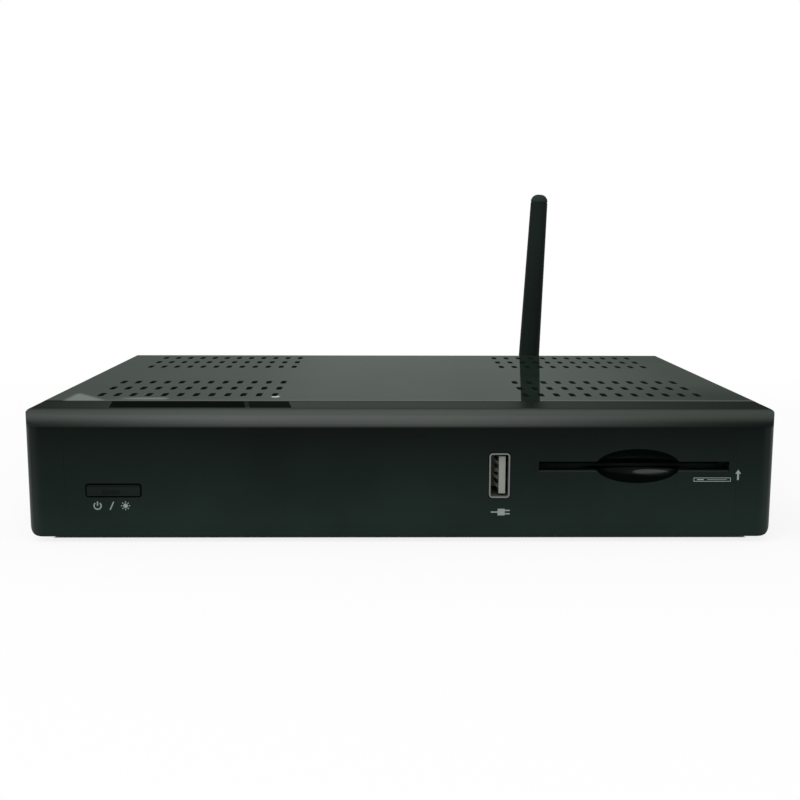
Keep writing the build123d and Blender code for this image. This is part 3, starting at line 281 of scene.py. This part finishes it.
def from_break(g, x, y):
    """How far to the right of the break in the label, which leans to the right towards the front."""
    start, end = limits("label_strip")[1]
    half_lean = 0.95
    return g.math("ADD", g.math("SUBTRACT", x, label_break), g.remap(y, start, end, -half_lean, half_lean))


def front_plastic(name, tone, coat_rough, flat_gloss, **more):
    """Satin plastic of the front, glossier where it curves, with painted light and shade: darker towards
    the top, dark in the scoop, and a painted sheen on the curved brow.
    """
    g = finish_of(name, tone, 0.45, specular=0.0, coat=flat_gloss, coat_rough=coat_rough, **more)
    x, y, z = g.axes()
    depth = g.math("SUBTRACT", y, bezel_y[0])
    # Painted light and shade: the face is darker towards the top, in the brow's shade, and lighter towards
    # the bottom, where light from the floor reaches it.
    face_low, face_low_tone, face_high_tone = 6.0, 1.46, 0.42
    g.dim(g.remap(z, face_low, brow_low - 1.0, face_low_tone, face_high_tone))
    hollow = g.product(g.oval(x, z, scoop_x, scoop_z, scoop_half_width + 0.2, scoop_half_height + 0.2),
                       g.remap(depth, 0.52, 0.75, soft=True))
    # Painted shade: inside the scoop the colour is darkened as a recess in shade, most low down and a
    # little less towards the top.
    scoop_shade = g.remap(z, scoop_z - 1.0, scoop_z + 1.5, 0.80, 0.62)
    g.dim(g.math("SUBTRACT", 1.0, g.math("MULTIPLY", hollow, scoop_shade)))
    # The curved brow has a painted sheen: its colour is lightened to stand in for the light it reflects,
    # and its gloss gives way to the flat strip behind it.
    above = g.remap(z, brow_low - 0.6, brow_low + 0.5, soft=True)
    brow_sheen_tone = (0.045, 0.054, 0.048)
    brow_sheen = g.product(g.remap(z, brow_low + 0.3, brow_low + 3.6, soft=True),
                     g.remap(depth, brow_run - 0.6, brow_run - 3.1, soft=True), side_light_falloff(g, x, 0.8, 0.8))
    g.recolour(g.mix(brow_sheen, g.colour, brow_sheen_tone))
    behind = g.remap(depth, brow_run - 4.5, brow_run - 0.6)
    low = side_light_falloff(g, x, 0.23, 0.08)
    high = side_light_falloff(g, x, 0.58, 0.52)
    rise = g.remap(z, brow_low + 1.4, brow_low + 4.4)
    fade = g.math("ADD", g.product(low, g.math("SUBTRACT", 1.0, rise)), g.product(high, rise))
    # Its polish is strongest at the lower edge, weakest half way up, and returns towards the top.
    wear = g.product(g.remap(z, brow_low + 0.4, brow_low + 1.2, 1.1, 0.66),
                     g.remap(z, brow_low + 1.2, brow_low + 2.6, 1.0, 0.80),
                     g.remap(z, brow_low + 3.1, brow_low + 3.7, 1.0, 1.36))
    brow = g.product(above, g.math("SUBTRACT", 1.0, behind), fade, wear)
    strip_gloss, touch_gloss = 0.15, 0.48
    # The break in the label is dull.
    label_front = limits("label_strip")[1][0]
    beside = from_break(g, x, y)
    split = g.product(g.remap(beside, -1.3, -0.9), g.remap(beside, 1.3, 0.9),
                      g.remap(y, label_front - 0.2, label_front + 0.4))
    unsplit = g.math("SUBTRACT", 1.0, g.math("MULTIPLY", split, 0.68))
    flat_strip = g.product(above, behind, side_light_falloff(g, x, 0.33, 0.31), strip_gloss, unsplit)
    # Below it the face is satin, with more gloss round the upright edges and a bright touch in the scoop.
    upright_left = g.product(g.remap(x, bezel_x[0] + 4.8, bezel_x[0], 0.0, 0.40, soft=True),
                             g.remap(z, 28.0, 12.0, 1.0, 1.3))
    upright_right = g.remap(x, bezel_x[1] - 4.5, bezel_x[1], 0.0, 0.41, soft=True)
    upright = g.math("ADD", upright_left, upright_right)
    touch = g.product(g.oval(x, z, 75.0, 20.4, 5.8, 0.8, 0.3), hollow, touch_gloss)
    plain = g.math("ADD", g.math("ADD", flat_gloss, upright), touch)
    below = g.product(g.math("SUBTRACT", 1.0, above), plain)
    gloss = g.math("ADD", g.math("ADD", brow, flat_strip), below)
    g.link(gloss, g.shader.inputs["Coat Weight"])
    return g


def button_plastic():
    """Satin plastic of the button, with painted shade along its upper edge, under the rim of its opening.
    """
    g = finish_of("button_face", (0.0078, 0.0130, 0.0115), 0.4, specular=0.0, coat=0.10, coat_rough=0.2,
                  grain=2400, depth=0.004)
    x, y, z = g.axes()
    middle = (button_z[0] + button_z[1]) / 2
    # Painted shade: the top of the button darkens towards its upper edge.
    g.dim(g.remap(z, middle + 0.8, middle + 1.5, 1.0, 0.35, soft=True))
    return g


def label_film():
    """Matt black film of the label, a little greyer on its short part."""
    g = finish_of("label", (0.0041, 0.0054, 0.0043), 0.5, specular=0.0, grain=700, depth=0.002)
    x, y, z = g.axes()
    g.dim(g.remap(from_break(g, x, y), -0.2, 0.2, 1.0, 1.7))
    return g


def reader_plastic():
    """Black plastic of the card reader, in deeper shade behind the scoop."""
    g = finish_of("reader_black", (0.031, 0.047, 0.041), 0.6, specular=0.05, grain=2600, depth=0.012)
    x, y, z = g.axes()
    behind = g.oval(x, z, scoop_x, scoop_z, scoop_half_width + 2.5, scoop_half_height, 0.5)
    g.dim(g.math("SUBTRACT", 1.0, g.math("MULTIPLY", behind, 0.55)))
    return g


def usb_steel():
    """Nickelled steel at the rim; inside the socket, painted shade: dark and not metallic."""
    g = finish_of("usb_steel", (0.18, 0.19, 0.18), 0.38, spread=0.06, metal=1.0, grain=900, depth=0.003)
    x, y, z = g.axes()
    # Painted shade: past the rim, the inside of the socket is dark and not metallic.
    inside = g.remap(y, usb_y[0] + 0.15, usb_y[0] + 0.7, soft=True)
    g.recolour(g.mix(inside, g.colour, (0.075, 0.095, 0.065)))
    g.link(g.math("SUBTRACT", 1.0, inside), g.shader.inputs["Metallic"])
    return g


def antenna_rubber():
    """Rubber of the antenna, lighter at its cap, with painted shade along its flanks."""
    g = finish_of("antenna_rubber", (0.0118, 0.0178, 0.0152), 0.55, specular=0.03, grain=1800, depth=0.012,
                  mottle=0.12)
    x, y, z = g.axes()
    left, right = limits("antenna_base")[0]
    root_x, root_z, height, cap_height = (left + right) / 2, 25.0, 100.0, 3.6
    lean = 0.0463  # sideways shift of the whip for each millimetre of height
    shift = g.remap(z, root_z, root_z + height, 0.0, height * lean)
    offset = g.math("SUBTRACT", g.math("SUBTRACT", x, root_x), shift)
    # Painted shade: both flanks are darker, the right one more.
    g.dim(g.remap(offset, 0.8, 3.6, 1.0, 0.45, soft=True))
    g.dim(g.remap(offset, -2.2, -3.9, 1.0, 0.75, soft=True))
    # Lighter towards the cap.
    g.dim(g.remap(z, whip_top - cap_height, whip_top - cap_height + 0.5, 1.0, 1.9))
    return g


def rocker_plastic():
    """Black rocker with a bar on one wing and a ring on the other."""
    g = finish_of("rocker_plastic", (0.012, 0.012, 0.012), 0.4, grain=1800, depth=0.008)
    x, y, z = g.axes()
    (left, right), _, (low, high) = limits("switch_rocker")
    middle_x, middle_z, wing = (left + right) / 2, (low + high) / 2, 4.4
    ring = g.math("SUBTRACT", g.oval(x, z, middle_x - wing, middle_z, 1.8, 1.8, 0.05),
                  g.oval(x, z, middle_x - wing, middle_z, 1.35, 1.35, 0.05))
    line = g.oval(x, z, middle_x + wing, middle_z, 0.26, 1.9, 0.1)
    visible_from = limits("switch_frame")[1][1] - 3.0
    outside = g.remap(y, visible_from, visible_from - 0.2, 1.0, 0.0)
    g.recolour(g.mix(g.product(g.math("MAXIMUM", ring, line), outside), g.colour, (0.62, 0.62, 0.60)))
    return g


case_paint = case_steel()
tray_paint = finish_of("tray_paint", (0.0115, 0.0160, 0.0135), 0.5, specular=0.25, grain=1500, depth=0.01)
bezel = front_plastic("bezel", (0.0073, 0.0138, 0.0113), 0.26, 0.10, grain=2200, depth=0.005, dust=0.1)
fascia = front_plastic("fascia", (0.0073, 0.0138, 0.0113), 0.14, 0.10, grain=1900, depth=0.003, dust=0.1)
button_face = button_plastic()
smoked = finish_of("smoked", (0.0050, 0.0085, 0.0075), 0.2, spread=0.03, specular=0.06, grain=600,
                   depth=0.001)
label = label_film()
antenna = antenna_rubber()
rubber = finish_of("rubber", (0.012, 0.013, 0.012), 0.8, specular=0.3, grain=1200, depth=0.03, mottle=0.3)
usb_metal = usb_steel()
bright = finish_of("bright", (0.72, 0.72, 0.70), 0.2, spread=0.06, metal=1.0, grain=900, depth=0.003,
                   stretch=(1, 0.1, 1), mottle=0.06)
tin = finish_of("tin", (0.56, 0.57, 0.56), 0.34, spread=0.08, metal=1.0, grain=700, depth=0.005,
                stretch=(0.08, 1, 1), mottle=0.08)
gold = finish_of("gold", (0.78, 0.56, 0.22), 0.24, metal=1.0, grain=900, depth=0.003, mottle=0.08)
dull_contact = finish_of("dull_contact", (0.34, 0.37, 0.32), 0.4, metal=0.4, grain=900, depth=0.003)
dark_metal = finish_of("dark_metal", (0.055, 0.055, 0.055), 0.34, metal=1.0, grain=1500, depth=0.005)
brass = finish_of("brass", (0.62, 0.45, 0.18), 0.3, metal=1.0, grain=1200, depth=0.004, mottle=0.1)
aluminium = finish_of("aluminium", (0.62, 0.63, 0.63), 0.38, metal=1.0, grain=900, depth=0.006,
                      stretch=(1, 0.05, 1), mottle=0.08)
board = finish_of("board", (0.012, 0.095, 0.045), 0.32, specular=0.5, coat=0.4, coat_rough=0.15,
                  grain=1600, depth=0.006, mottle=0.3)
epoxy = finish_of("epoxy", (0.012, 0.012, 0.012), 0.55, grain=2600, depth=0.012)
reader_black = reader_plastic()
rocker = rocker_plastic()
sleeve = finish_of("sleeve", (0.010, 0.010, 0.014), 0.28, specular=0.5, grain=900, depth=0.002)
tongue = finish_of("tongue", (0.268, 0.292, 0.26), 0.5, specular=0.1, grain=1600, depth=0.004, mottle=0.05)
ivory = finish_of("ivory", (0.66, 0.63, 0.52), 0.5, grain=1600, depth=0.004, mottle=0.06)
ribbon = finish_of("ribbon", (0.55, 0.57, 0.58), 0.4, grain=1000, depth=0.01,
                   stretch=(1, 0.02, 0.02), mottle=0.08)
wire = finish_of("wire", (0.35, 0.015, 0.012), 0.35, grain=1500, depth=0.003)
lamp = finish_of("lamp", (0.30, 0.55, 0.30), 0.2, grain=1500, depth=0.002)
red = finish_of("red", (0.42, 0.012, 0.010), 0.32, grain=1600, depth=0.003, mottle=0.1)
snow = finish_of("snow", (0.72, 0.72, 0.70), 0.32, grain=1600, depth=0.003, mottle=0.05)
yellow = finish_of("yellow", (0.72, 0.46, 0.015), 0.32, grain=1600, depth=0.003, mottle=0.08)
orange = finish_of("orange", (0.68, 0.17, 0.012), 0.32, grain=1600, depth=0.003, mottle=0.08)
print_ink = finish_of("print_ink", (0.26, 0.30, 0.285), 0.5, specular=0.1, grain=3000, depth=0.002,
                      mottle=0.1)

dressed = {
    "top_cover": case_paint, "chassis_tray": tray_paint,
    "front_bezel": bezel, "standby_button": button_face, "front_fascia": fascia, "label_strip": label,
    "button_lens": smoked, "infrared_receiver": smoked,
    "antenna_whip": antenna, "antenna_base": antenna, "rubber_feet": rubber,
    "usb_shell": usb_metal, "hdmi_shell": bright, "tuner_sockets": bright, "phono_rings": bright,
    "case_screws": dark_metal, "board_screws": bright, "antenna_hinge_pin": bright, "dc_jack_pin": bright,
    "card_reader_cover": tin, "switch_terminals": tin, "tuner_can": tin, "wifi_shield": tin,
    "inductors": epoxy, "antenna_socket": gold, "antenna_socket_nut": gold, "usb_contacts": dull_contact,
    "card_reader_contacts": gold, "network_contacts": gold, "antenna_coupling_nut": dark_metal,
    "board_standoffs": brass, "card_reader_pillars": brass, "heat_sink": aluminium,
    "main_board": board, "front_board": board, "card_reader_board": board, "wifi_module": board,
    "processor": epoxy, "memory_chips": epoxy, "tact_switch_body": epoxy, "switch_frame": epoxy,
    "switch_rocker": rocker, "dc_jack": epoxy, "network_socket": epoxy, "hdmi_tongue": epoxy,
    "phono_block": epoxy, "card_reader_body": reader_black, "capacitors": sleeve, "antenna_pigtail": sleeve,
    "usb_tongue": tongue, "tact_switch_plunger": ivory, "ribbon_headers": ivory, "tuner_insulators": ivory,
    "ribbon_cable": ribbon, "switch_leads": wire, "status_led": lamp,
    "phono_insert_red": red, "phono_insert_white": snow, "phono_insert_yellow": yellow,
    "phono_insert_orange": orange,
}
for name, graph in dressed.items():
    slots = nodes[name].material_slots
    for one in slots:
        one.material = graph.material
    if not slots:
        nodes[name].data.materials.append(graph.material)


# ---- Printed marks on the front ----

def piece_of(name, bm, graph, body, smooth=False):
    """An object from mesh code in millimetres, with its finish and the body that it rides on."""
    bmesh.ops.scale(bm, vec=(MM, MM, MM), verts=bm.verts)
    bmesh.ops.recalc_face_normals(bm, faces=bm.faces)
    for one in bm.faces:
        one.smooth = smooth
    data = bpy.data.meshes.new(name)
    bm.to_mesh(data)
    bm.free()
    data.materials.append(graph.material)
    piece = bpy.data.objects.new(name, data)
    bpy.context.scene.collection.objects.link(piece)
    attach(piece, body)
    return piece


INK = 0.03  # thickness of the print


def patch(bm, outline):
    """A flat printed shape on the face from its outline in X and Z."""
    front = [bm.verts.new((x, face - INK, z)) for x, z in outline]
    back = [bm.verts.new((x, face, z)) for x, z in outline]
    bm.faces.new(front)
    bm.faces.new(back[::-1])
    for index in range(len(outline)):
        after = (index + 1) % len(outline)
        bm.faces.new((front[index], back[index], back[after], front[after]))


def bar(bm, low_x, high_x, low_z, high_z):
    patch(bm, ((low_x, low_z), (high_x, low_z), (high_x, high_z), (low_x, high_z)))


def arc(bm, x, z, radius, line, start=0.0, end=2 * pi, steps=28):
    """Part of a ring."""
    turns = [start + (end - start) * step / steps for step in range(steps + 1)]
    for one, two in zip(turns, turns[1:]):
        corners = []
        for turn, reach in ((one, radius - line / 2), (one, radius + line / 2),
                            (two, radius + line / 2), (two, radius - line / 2)):
            corners.append((x + reach * cos(turn), z + reach * sin(turn)))
        patch(bm, corners)


def standby_mark():
    """Under the button: an open ring with a bar, a stroke, and a lamp with its rays."""
    bm = bmesh.new()
    middle, height = (button_x[0] + button_x[1]) / 2 - 0.6, 11.15
    ring_x, ring_radius, line = middle - 4.2, 1.05, 0.38
    arc(bm, ring_x, height, ring_radius, line, radians(130), radians(410))
    bar(bm, ring_x - line / 2, ring_x + line / 2, height, height + 1.3)
    lean, half_tall, half_wide = 0.55, 1.2, 0.2
    patch(bm, [(middle + end * lean + side * half_wide, height + end * half_tall)
               for end, side in ((-1, -1), (-1, 1), (1, 1), (1, -1))])
    lamp_middle, lamp_radius = Vector((middle + 4.0, height)), 0.68
    arc(bm, *lamp_middle, lamp_radius / 2, lamp_radius)
    rays, ray_start, ray_end, ray_half = 8, 0.9, 1.35, 0.13
    for step in range(rays):
        turn = 2 * pi * step / rays
        out, side = Vector((cos(turn), sin(turn))), Vector((-sin(turn), cos(turn))) * ray_half
        patch(bm, [tuple(lamp_middle + out * reach + side * way)
                   for reach, way in ((ray_start, -1), (ray_end, -1), (ray_end, 1), (ray_start, 1))])
    return piece_of("standby_mark", bm, print_ink, "case")


def plug_mark():
    """Under the upright socket: a plug with two blades and its lead."""
    bm = bmesh.new()
    middle, height = (usb_x[0] + usb_x[1]) / 2 + 0.5, 9.2
    left, right, half_body, half_blade, half_lead = middle - 0.9, middle + 1.2, 1.0, 0.19, 0.2
    blade_length, lead_length = 1.5, 2.0
    bar(bm, left, right, height - half_body, height + half_body)
    for blade in (height - half_body / 2, height + half_body / 2):
        bar(bm, right, right + blade_length, blade - half_blade, blade + half_blade)
    bar(bm, left - lead_length, left, height - half_lead, height + half_lead)
    return piece_of("plug_mark", bm, print_ink, "case")


def card_mark():
    """Beside the slot: a card seen flat with its chip, and an arrow towards the slot."""
    bm = bmesh.new()
    left, right, low, high, line = 86.2, 97.2, 18.4, 19.6, 0.17
    bar(bm, left, right, low, low + line)
    bar(bm, left, right, high - line, high)
    bar(bm, left, left + line, low + line, high - line)
    bar(bm, right - line, right, low + line, high - line)
    bar(bm, left + 1.0, left + 3.0, low + 0.45, high - 0.45)
    bar(bm, left + 4.0, right - 1.2, low + 0.53, high - 0.53)
    tip_x, low, high, head, half_head, half_shaft = 99.3, 18.9, 22.0, 1.25, 0.85, 0.28
    bar(bm, tip_x - half_shaft, tip_x + half_shaft, low, high - head + 0.05)
    patch(bm, ((tip_x - half_head, high - head), (tip_x + half_head, high - head), (tip_x, high)))
    return piece_of("card_mark", bm, print_ink, "case")


standby_mark()
plug_mark()
card_mark()


# ---- Turned parts at the back ----

def sharpen(piece, degrees=35):
    """Hard edges where two faces meet at more than this."""
    bm = bmesh.new()
    bm.from_mesh(piece.data)
    for edge in bm.edges:
        if len(edge.link_faces) == 2:
            edge.smooth = edge.calc_face_angle(0.0) < radians(degrees)
    bm.to_mesh(piece.data)
    bm.free()


def lathe(bm, place, rows, around, relief):
    """A turned shape about a line from front to back. A row is its Y and radius, and the relief, which
    depends on the row's index, its Y and the turn around the line, is taken off the radius."""
    rings = []
    for index, (y, radius) in enumerate(rows):
        ring = []
        for step in range(around):
            turn = 2 * pi * step / around
            reach = radius - relief(index, y, turn)
            ring.append(bm.verts.new((place[0] + reach * cos(turn), y, place[1] + reach * sin(turn))))
        rings.append(ring)
    for one, two in zip(rings, rings[1:]):
        for step in range(around):
            after = (step + 1) % around
            bm.faces.new((one[step], one[after], two[after], two[step]))
    return rings


def threaded_sockets():
    """The two satellite sockets with their screw threads."""
    (left, right), (start, end), (low, high) = limits("tuner_sockets")
    flange, neck, thread, bore, bore_depth = 5.6, 4.4, 4.7625, 3.6, 8.3
    sheet, neck_length, chamfer = 0.8, 1.3, 0.5
    panel_inside = limits("chassis_tray")[1][1] - sheet
    thread_start = panel_inside + neck_length
    pitch, cut = 0.794, 0.36
    bm = bmesh.new()
    for x in (left + flange, right - flange):
        z = (low + high) / 2
        rows = [(start, flange), (panel_inside, flange), (panel_inside, neck),
                (thread_start, neck), (thread_start, thread - cut)]
        first = len(rows)
        steps = 80
        for step in range(steps + 1):
            rows.append((thread_start + 0.1 + (end - thread_start - chamfer - 0.1) * step / steps, thread))
        last = len(rows)
        rows += [(end, thread - chamfer), (end, bore), (end - bore_depth, bore)]

        def groove(index, y, turn):
            if not first <= index < last:
                return 0.0
            phase = (y / pitch - turn / (2 * pi)) % 1.0
            share = (index - first) / (last - 1 - first)
            run_out = min(1.0, 12 * share, 12 * (1 - share) + 0.6)  # shallower at both ends
            return cut * run_out * abs(2 * phase - 1) ** 0.8

        rings = lathe(bm, (x, z), rows, 60, groove)
        bm.faces.new(rings[0][::-1])
        bm.faces.new(rings[-1])
    piece = piece_of("tuner_sockets_threaded", bm, bright, "case", smooth=True)
    sharpen(piece)
    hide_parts("tuner_sockets")


def knurled_nut():
    """The antenna's coupling nut, with a knurled grip."""
    (left, right), (start, end), (low, high) = limits("antenna_coupling_nut")
    outer = (right - left) / 2
    chamfer, bore, neck, flange = 0.3, 3.225, 2.25, 1.0
    plain, knurl_depth, ridges, steps = 0.9, 0.24, 40, 14
    rows = [(start, bore), (start, outer - chamfer), (start + chamfer, outer), (start + plain, outer)]
    first = len(rows)
    knurl_start, knurl_length = start + plain + 0.2, end - start - 2 * (plain + 0.2)
    rows += [(knurl_start + knurl_length * step / steps, outer) for step in range(steps + 1)]
    last = len(rows)
    rows += [(end - plain, outer), (end - chamfer, outer), (end, outer - chamfer), (end, neck),
             (end - flange, neck), (end - flange, bore), (start, bore)]

    def grip(index, y, turn):
        if not first <= index < last:
            return 0.0
        return knurl_depth * (1 + cos(ridges * turn)) / 2

    bm = bmesh.new()
    lathe(bm, ((left + right) / 2, (low + high) / 2), rows, 240, grip)
    bmesh.ops.remove_doubles(bm, verts=bm.verts, dist=0.0005)
    piece = piece_of("antenna_coupling_knurled", bm, dark_metal, "case", smooth=True)
    sharpen(piece)
    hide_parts("antenna_coupling_nut")


HEAD_RADIUS = 2.5  # of the case screws
HEAD_HEIGHT = 1.5


def cross_screw(length):
    """Mesh of one screw in millimetres, head up along Z with a cross recess, its seat at Z 0."""
    profile = [(0.0, HEAD_HEIGHT), (0.9, 1.47), (1.6, 1.34), (2.15, 1.05), (2.44, 0.6), (HEAD_RADIUS, 0.2),
               (HEAD_RADIUS, 0.0), (1.2, 0.0), (1.2, 0.6 - length), (0.7, -length), (0.0, -length)]
    around = 40
    bm = bmesh.new()
    rings = []
    for radius, z in profile:
        if radius == 0.0:
            rings.append([bm.verts.new((0, 0, z))])
        else:
            turns = [2 * pi * step / around for step in range(around)]
            rings.append([bm.verts.new((radius * cos(turn), radius * sin(turn), z)) for turn in turns])
    for one, two in zip(rings, rings[1:]):
        for step in range(around):
            after = (step + 1) % around
            corners = (one[step % len(one)], one[after % len(one)],
                       two[after % len(two)], two[step % len(two)])
            bm.faces.new(list(dict.fromkeys(corners)))
    bmesh.ops.recalc_face_normals(bm, faces=bm.faces)
    body = bpy.data.meshes.new("screw")
    bm.to_mesh(body)
    bm.free()
    bm = bmesh.new()
    wide, narrow, top, floor = 0.42, 0.24, HEAD_HEIGHT + 0.3, 0.35
    arm_top, arm_floor = 1.7, 0.7
    for turn in (0, pi / 2):
        corners = []
        for z, half, arm in ((top, wide, arm_top), (floor, narrow, arm_floor)):
            for x, y in ((-arm, -half), (arm, -half), (arm, half), (-arm, half)):
                spun = (x * cos(turn) - y * sin(turn), x * sin(turn) + y * cos(turn), z)
                corners.append(bm.verts.new(spun))
        for face_of in ((0, 1, 2, 3), (7, 6, 5, 4), (0, 4, 5, 1), (1, 5, 6, 2), (2, 6, 7, 3), (3, 7, 4, 0)):
            bm.faces.new([corners[one] for one in face_of])
    bmesh.ops.recalc_face_normals(bm, faces=bm.faces)
    recess = bpy.data.meshes.new("recess")
    bm.to_mesh(recess)
    bm.free()
    head = bpy.data.objects.new("screw", body)
    tool = bpy.data.objects.new("recess", recess)
    for one in (head, tool):
        bpy.context.scene.collection.objects.link(one)
    cut = head.modifiers.new("recess", "BOOLEAN")
    cut.operation = "DIFFERENCE"
    cut.solver = "EXACT"
    cut.use_self = True
    cut.object = tool
    bpy.context.view_layer.update()
    shape = bpy.data.meshes.new_from_object(head.evaluated_get(bpy.context.evaluated_depsgraph_get()))
    for one in (head, tool):
        bpy.data.objects.remove(one)
    return shape


def case_screws():
    """Cross-headed screws in the rear lip and from below into the front."""
    long, short = cross_screw(5.0), cross_screw(3.3)
    (left, right), (start, end), (low, high) = limits("case_screws")
    front_spacing = 80.0
    bm = bmesh.new()
    places = []
    for x in (left + HEAD_RADIUS, 0.0, right - HEAD_RADIUS):
        place = Vector((x, end - HEAD_HEIGHT, high - HEAD_RADIUS))
        places.append((long, place, Matrix.Rotation(-pi / 2, 4, "X")))
    for x in (-front_spacing, 0.0, front_spacing):
        place = Vector((x, start + HEAD_RADIUS, low + HEAD_HEIGHT))
        places.append((short, place, Matrix.Rotation(pi, 4, "X")))
    for index, (shape, place, turn) in enumerate(places):
        spin = Matrix.Rotation(0.4 + index * 1.1, 4, "Z")  # each has stopped at its own angle
        before = set(bm.verts)
        bm.from_mesh(shape)
        fresh = [one for one in bm.verts if one not in before]
        bmesh.ops.transform(bm, matrix=Matrix.Translation(place) @ turn @ spin, verts=fresh)
    piece = piece_of("case_screws_crossed", bm, dark_metal, "case", smooth=True)
    sharpen(piece)
    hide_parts("case_screws")


threaded_sockets()
knurled_nut()
case_screws()


# ---- Stage ----

def wired(tree, kind, **inputs):
    """A node with its inputs set to numbers or linked."""
    node = tree.nodes.new(kind)
    for key, value in inputs.items():
        socket = node.inputs[int(key[1:])] if key[1:].isdigit() else node.inputs[key]
        if hasattr(value, "links"):
            tree.links.new(value, socket)
        else:
            socket.default_value = value
    return node


def stage_math(tree, operation, first, second=0.0):
    node = wired(tree, "ShaderNodeMath", i0=first, i1=second)
    node.operation = operation
    return node.outputs[0]


def ramp(tree, value, low, high, to_low=0.0, to_high=1.0):
    node = wired(tree, "ShaderNodeMapRange", i0=value, i1=low, i2=high, i3=to_low, i4=to_high)
    return node.outputs[0]


def stage():
    bm = bmesh.new()
    bmesh.ops.create_grid(bm, x_segments=2, y_segments=2, size=6.0)
    data = bpy.data.meshes.new("floor")
    bm.to_mesh(data)
    bm.free()
    floor = bpy.data.objects.new("floor", data)
    bpy.context.scene.collection.objects.link(floor)
    material = bpy.data.materials.new("floor")
    material.use_nodes = True
    tree = material.node_tree
    out = tree.nodes["Material Output"]
    tree.nodes.remove(tree.nodes["Principled BSDF"])
    matt = wired(tree, "ShaderNodeBsdfDiffuse", Color=(0.9, 0.9, 0.9, 1))
    glow = wired(tree, "ShaderNodeEmission", Color=(1, 1, 1, 1))
    # Under the case the floor is plain. From its edge outwards it glows, a little less close by than
    # further off, so that it looks white.
    place = tree.nodes.new("ShaderNodeTexCoord").outputs["Object"]
    axes = wired(tree, "ShaderNodeSeparateXYZ", i0=place).outputs
    inset = 5.9
    half_x = (bezel_x[1] - inset) * MM
    half_y = ((lid_back - bezel_y[0]) / 2 - inset) * MM
    middle_y = (bezel_y[0] + lid_back) / 2 * MM
    reach_x = stage_math(tree, "SUBTRACT", stage_math(tree, "ABSOLUTE", axes[0]), half_x)
    offset_y = stage_math(tree, "ABSOLUTE", stage_math(tree, "SUBTRACT", axes[1], middle_y))
    reach = stage_math(tree, "MAXIMUM", reach_x, stage_math(tree, "SUBTRACT", offset_y, half_y))
    outside = ramp(tree, reach, -0.3 * MM, 0.4 * MM)
    strength = ramp(tree, reach, 10 * MM, 250 * MM, 0.84, 1.0)
    path = tree.nodes.new("ShaderNodeLightPath").outputs
    seen = stage_math(tree, "MAXIMUM", path["Is Camera Ray"], path["Is Glossy Ray"])
    seen = stage_math(tree, "MAXIMUM", seen, path["Is Transmission Ray"])
    amount = stage_math(tree, "MULTIPLY", stage_math(tree, "MULTIPLY", outside, strength), seen)
    blend = wired(tree, "ShaderNodeMixShader", i0=amount, i1=matt.outputs[0], i2=glow.outputs[0])
    tree.links.new(blend.outputs[0], out.inputs["Surface"])
    data.materials.append(material)

    world = bpy.data.worlds.new("studio")
    bpy.context.scene.world = world
    world.use_nodes = True
    tree = world.node_tree
    for node in list(tree.nodes):
        tree.nodes.remove(node)
    path = tree.nodes.new("ShaderNodeLightPath").outputs
    clear = stage_math(tree, "MAXIMUM", path["Is Camera Ray"], path["Is Transmission Ray"])
    dim = wired(tree, "ShaderNodeBackground", Color=(1, 1, 1, 1), Strength=0.5)
    room = wired(tree, "ShaderNodeBackground", Color=(0.915, 1.0, 0.93, 1), Strength=1.0)
    plain = wired(tree, "ShaderNodeBackground", Color=(1, 1, 1, 1), Strength=1.0)
    glossy = path["Is Glossy Ray"]
    unseen = wired(tree, "ShaderNodeMixShader", i0=glossy, i1=dim.outputs[0], i2=room.outputs[0])
    blend = wired(tree, "ShaderNodeMixShader", i0=clear, i1=unseen.outputs[0], i2=plain.outputs[0])
    out = tree.nodes.new("ShaderNodeOutputWorld")
    tree.links.new(blend.outputs[0], out.inputs["Surface"])


def lamp_at(name, place, target, width, height, power):
    data = bpy.data.lights.new(name, "AREA")
    data.shape = "RECTANGLE"
    data.size = width
    data.size_y = height
    data.energy = power
    light = bpy.data.objects.new(name, data)
    bpy.context.scene.collection.objects.link(light)
    light.location = place
    light.rotation_mode = "QUATERNION"
    light.rotation_quaternion = (Vector(target) - Vector(place)).to_track_quat("-Z", "Y")


stage()
lamp_at("key", (-0.12, -0.62, 1.05), (0, 0, 0.02), 1.3, 1.1, 7.5)
lamp_at("fill", (-0.8, -0.35, 1.0), (0, 0, 0.02), 1.1, 1.1, 4.0)
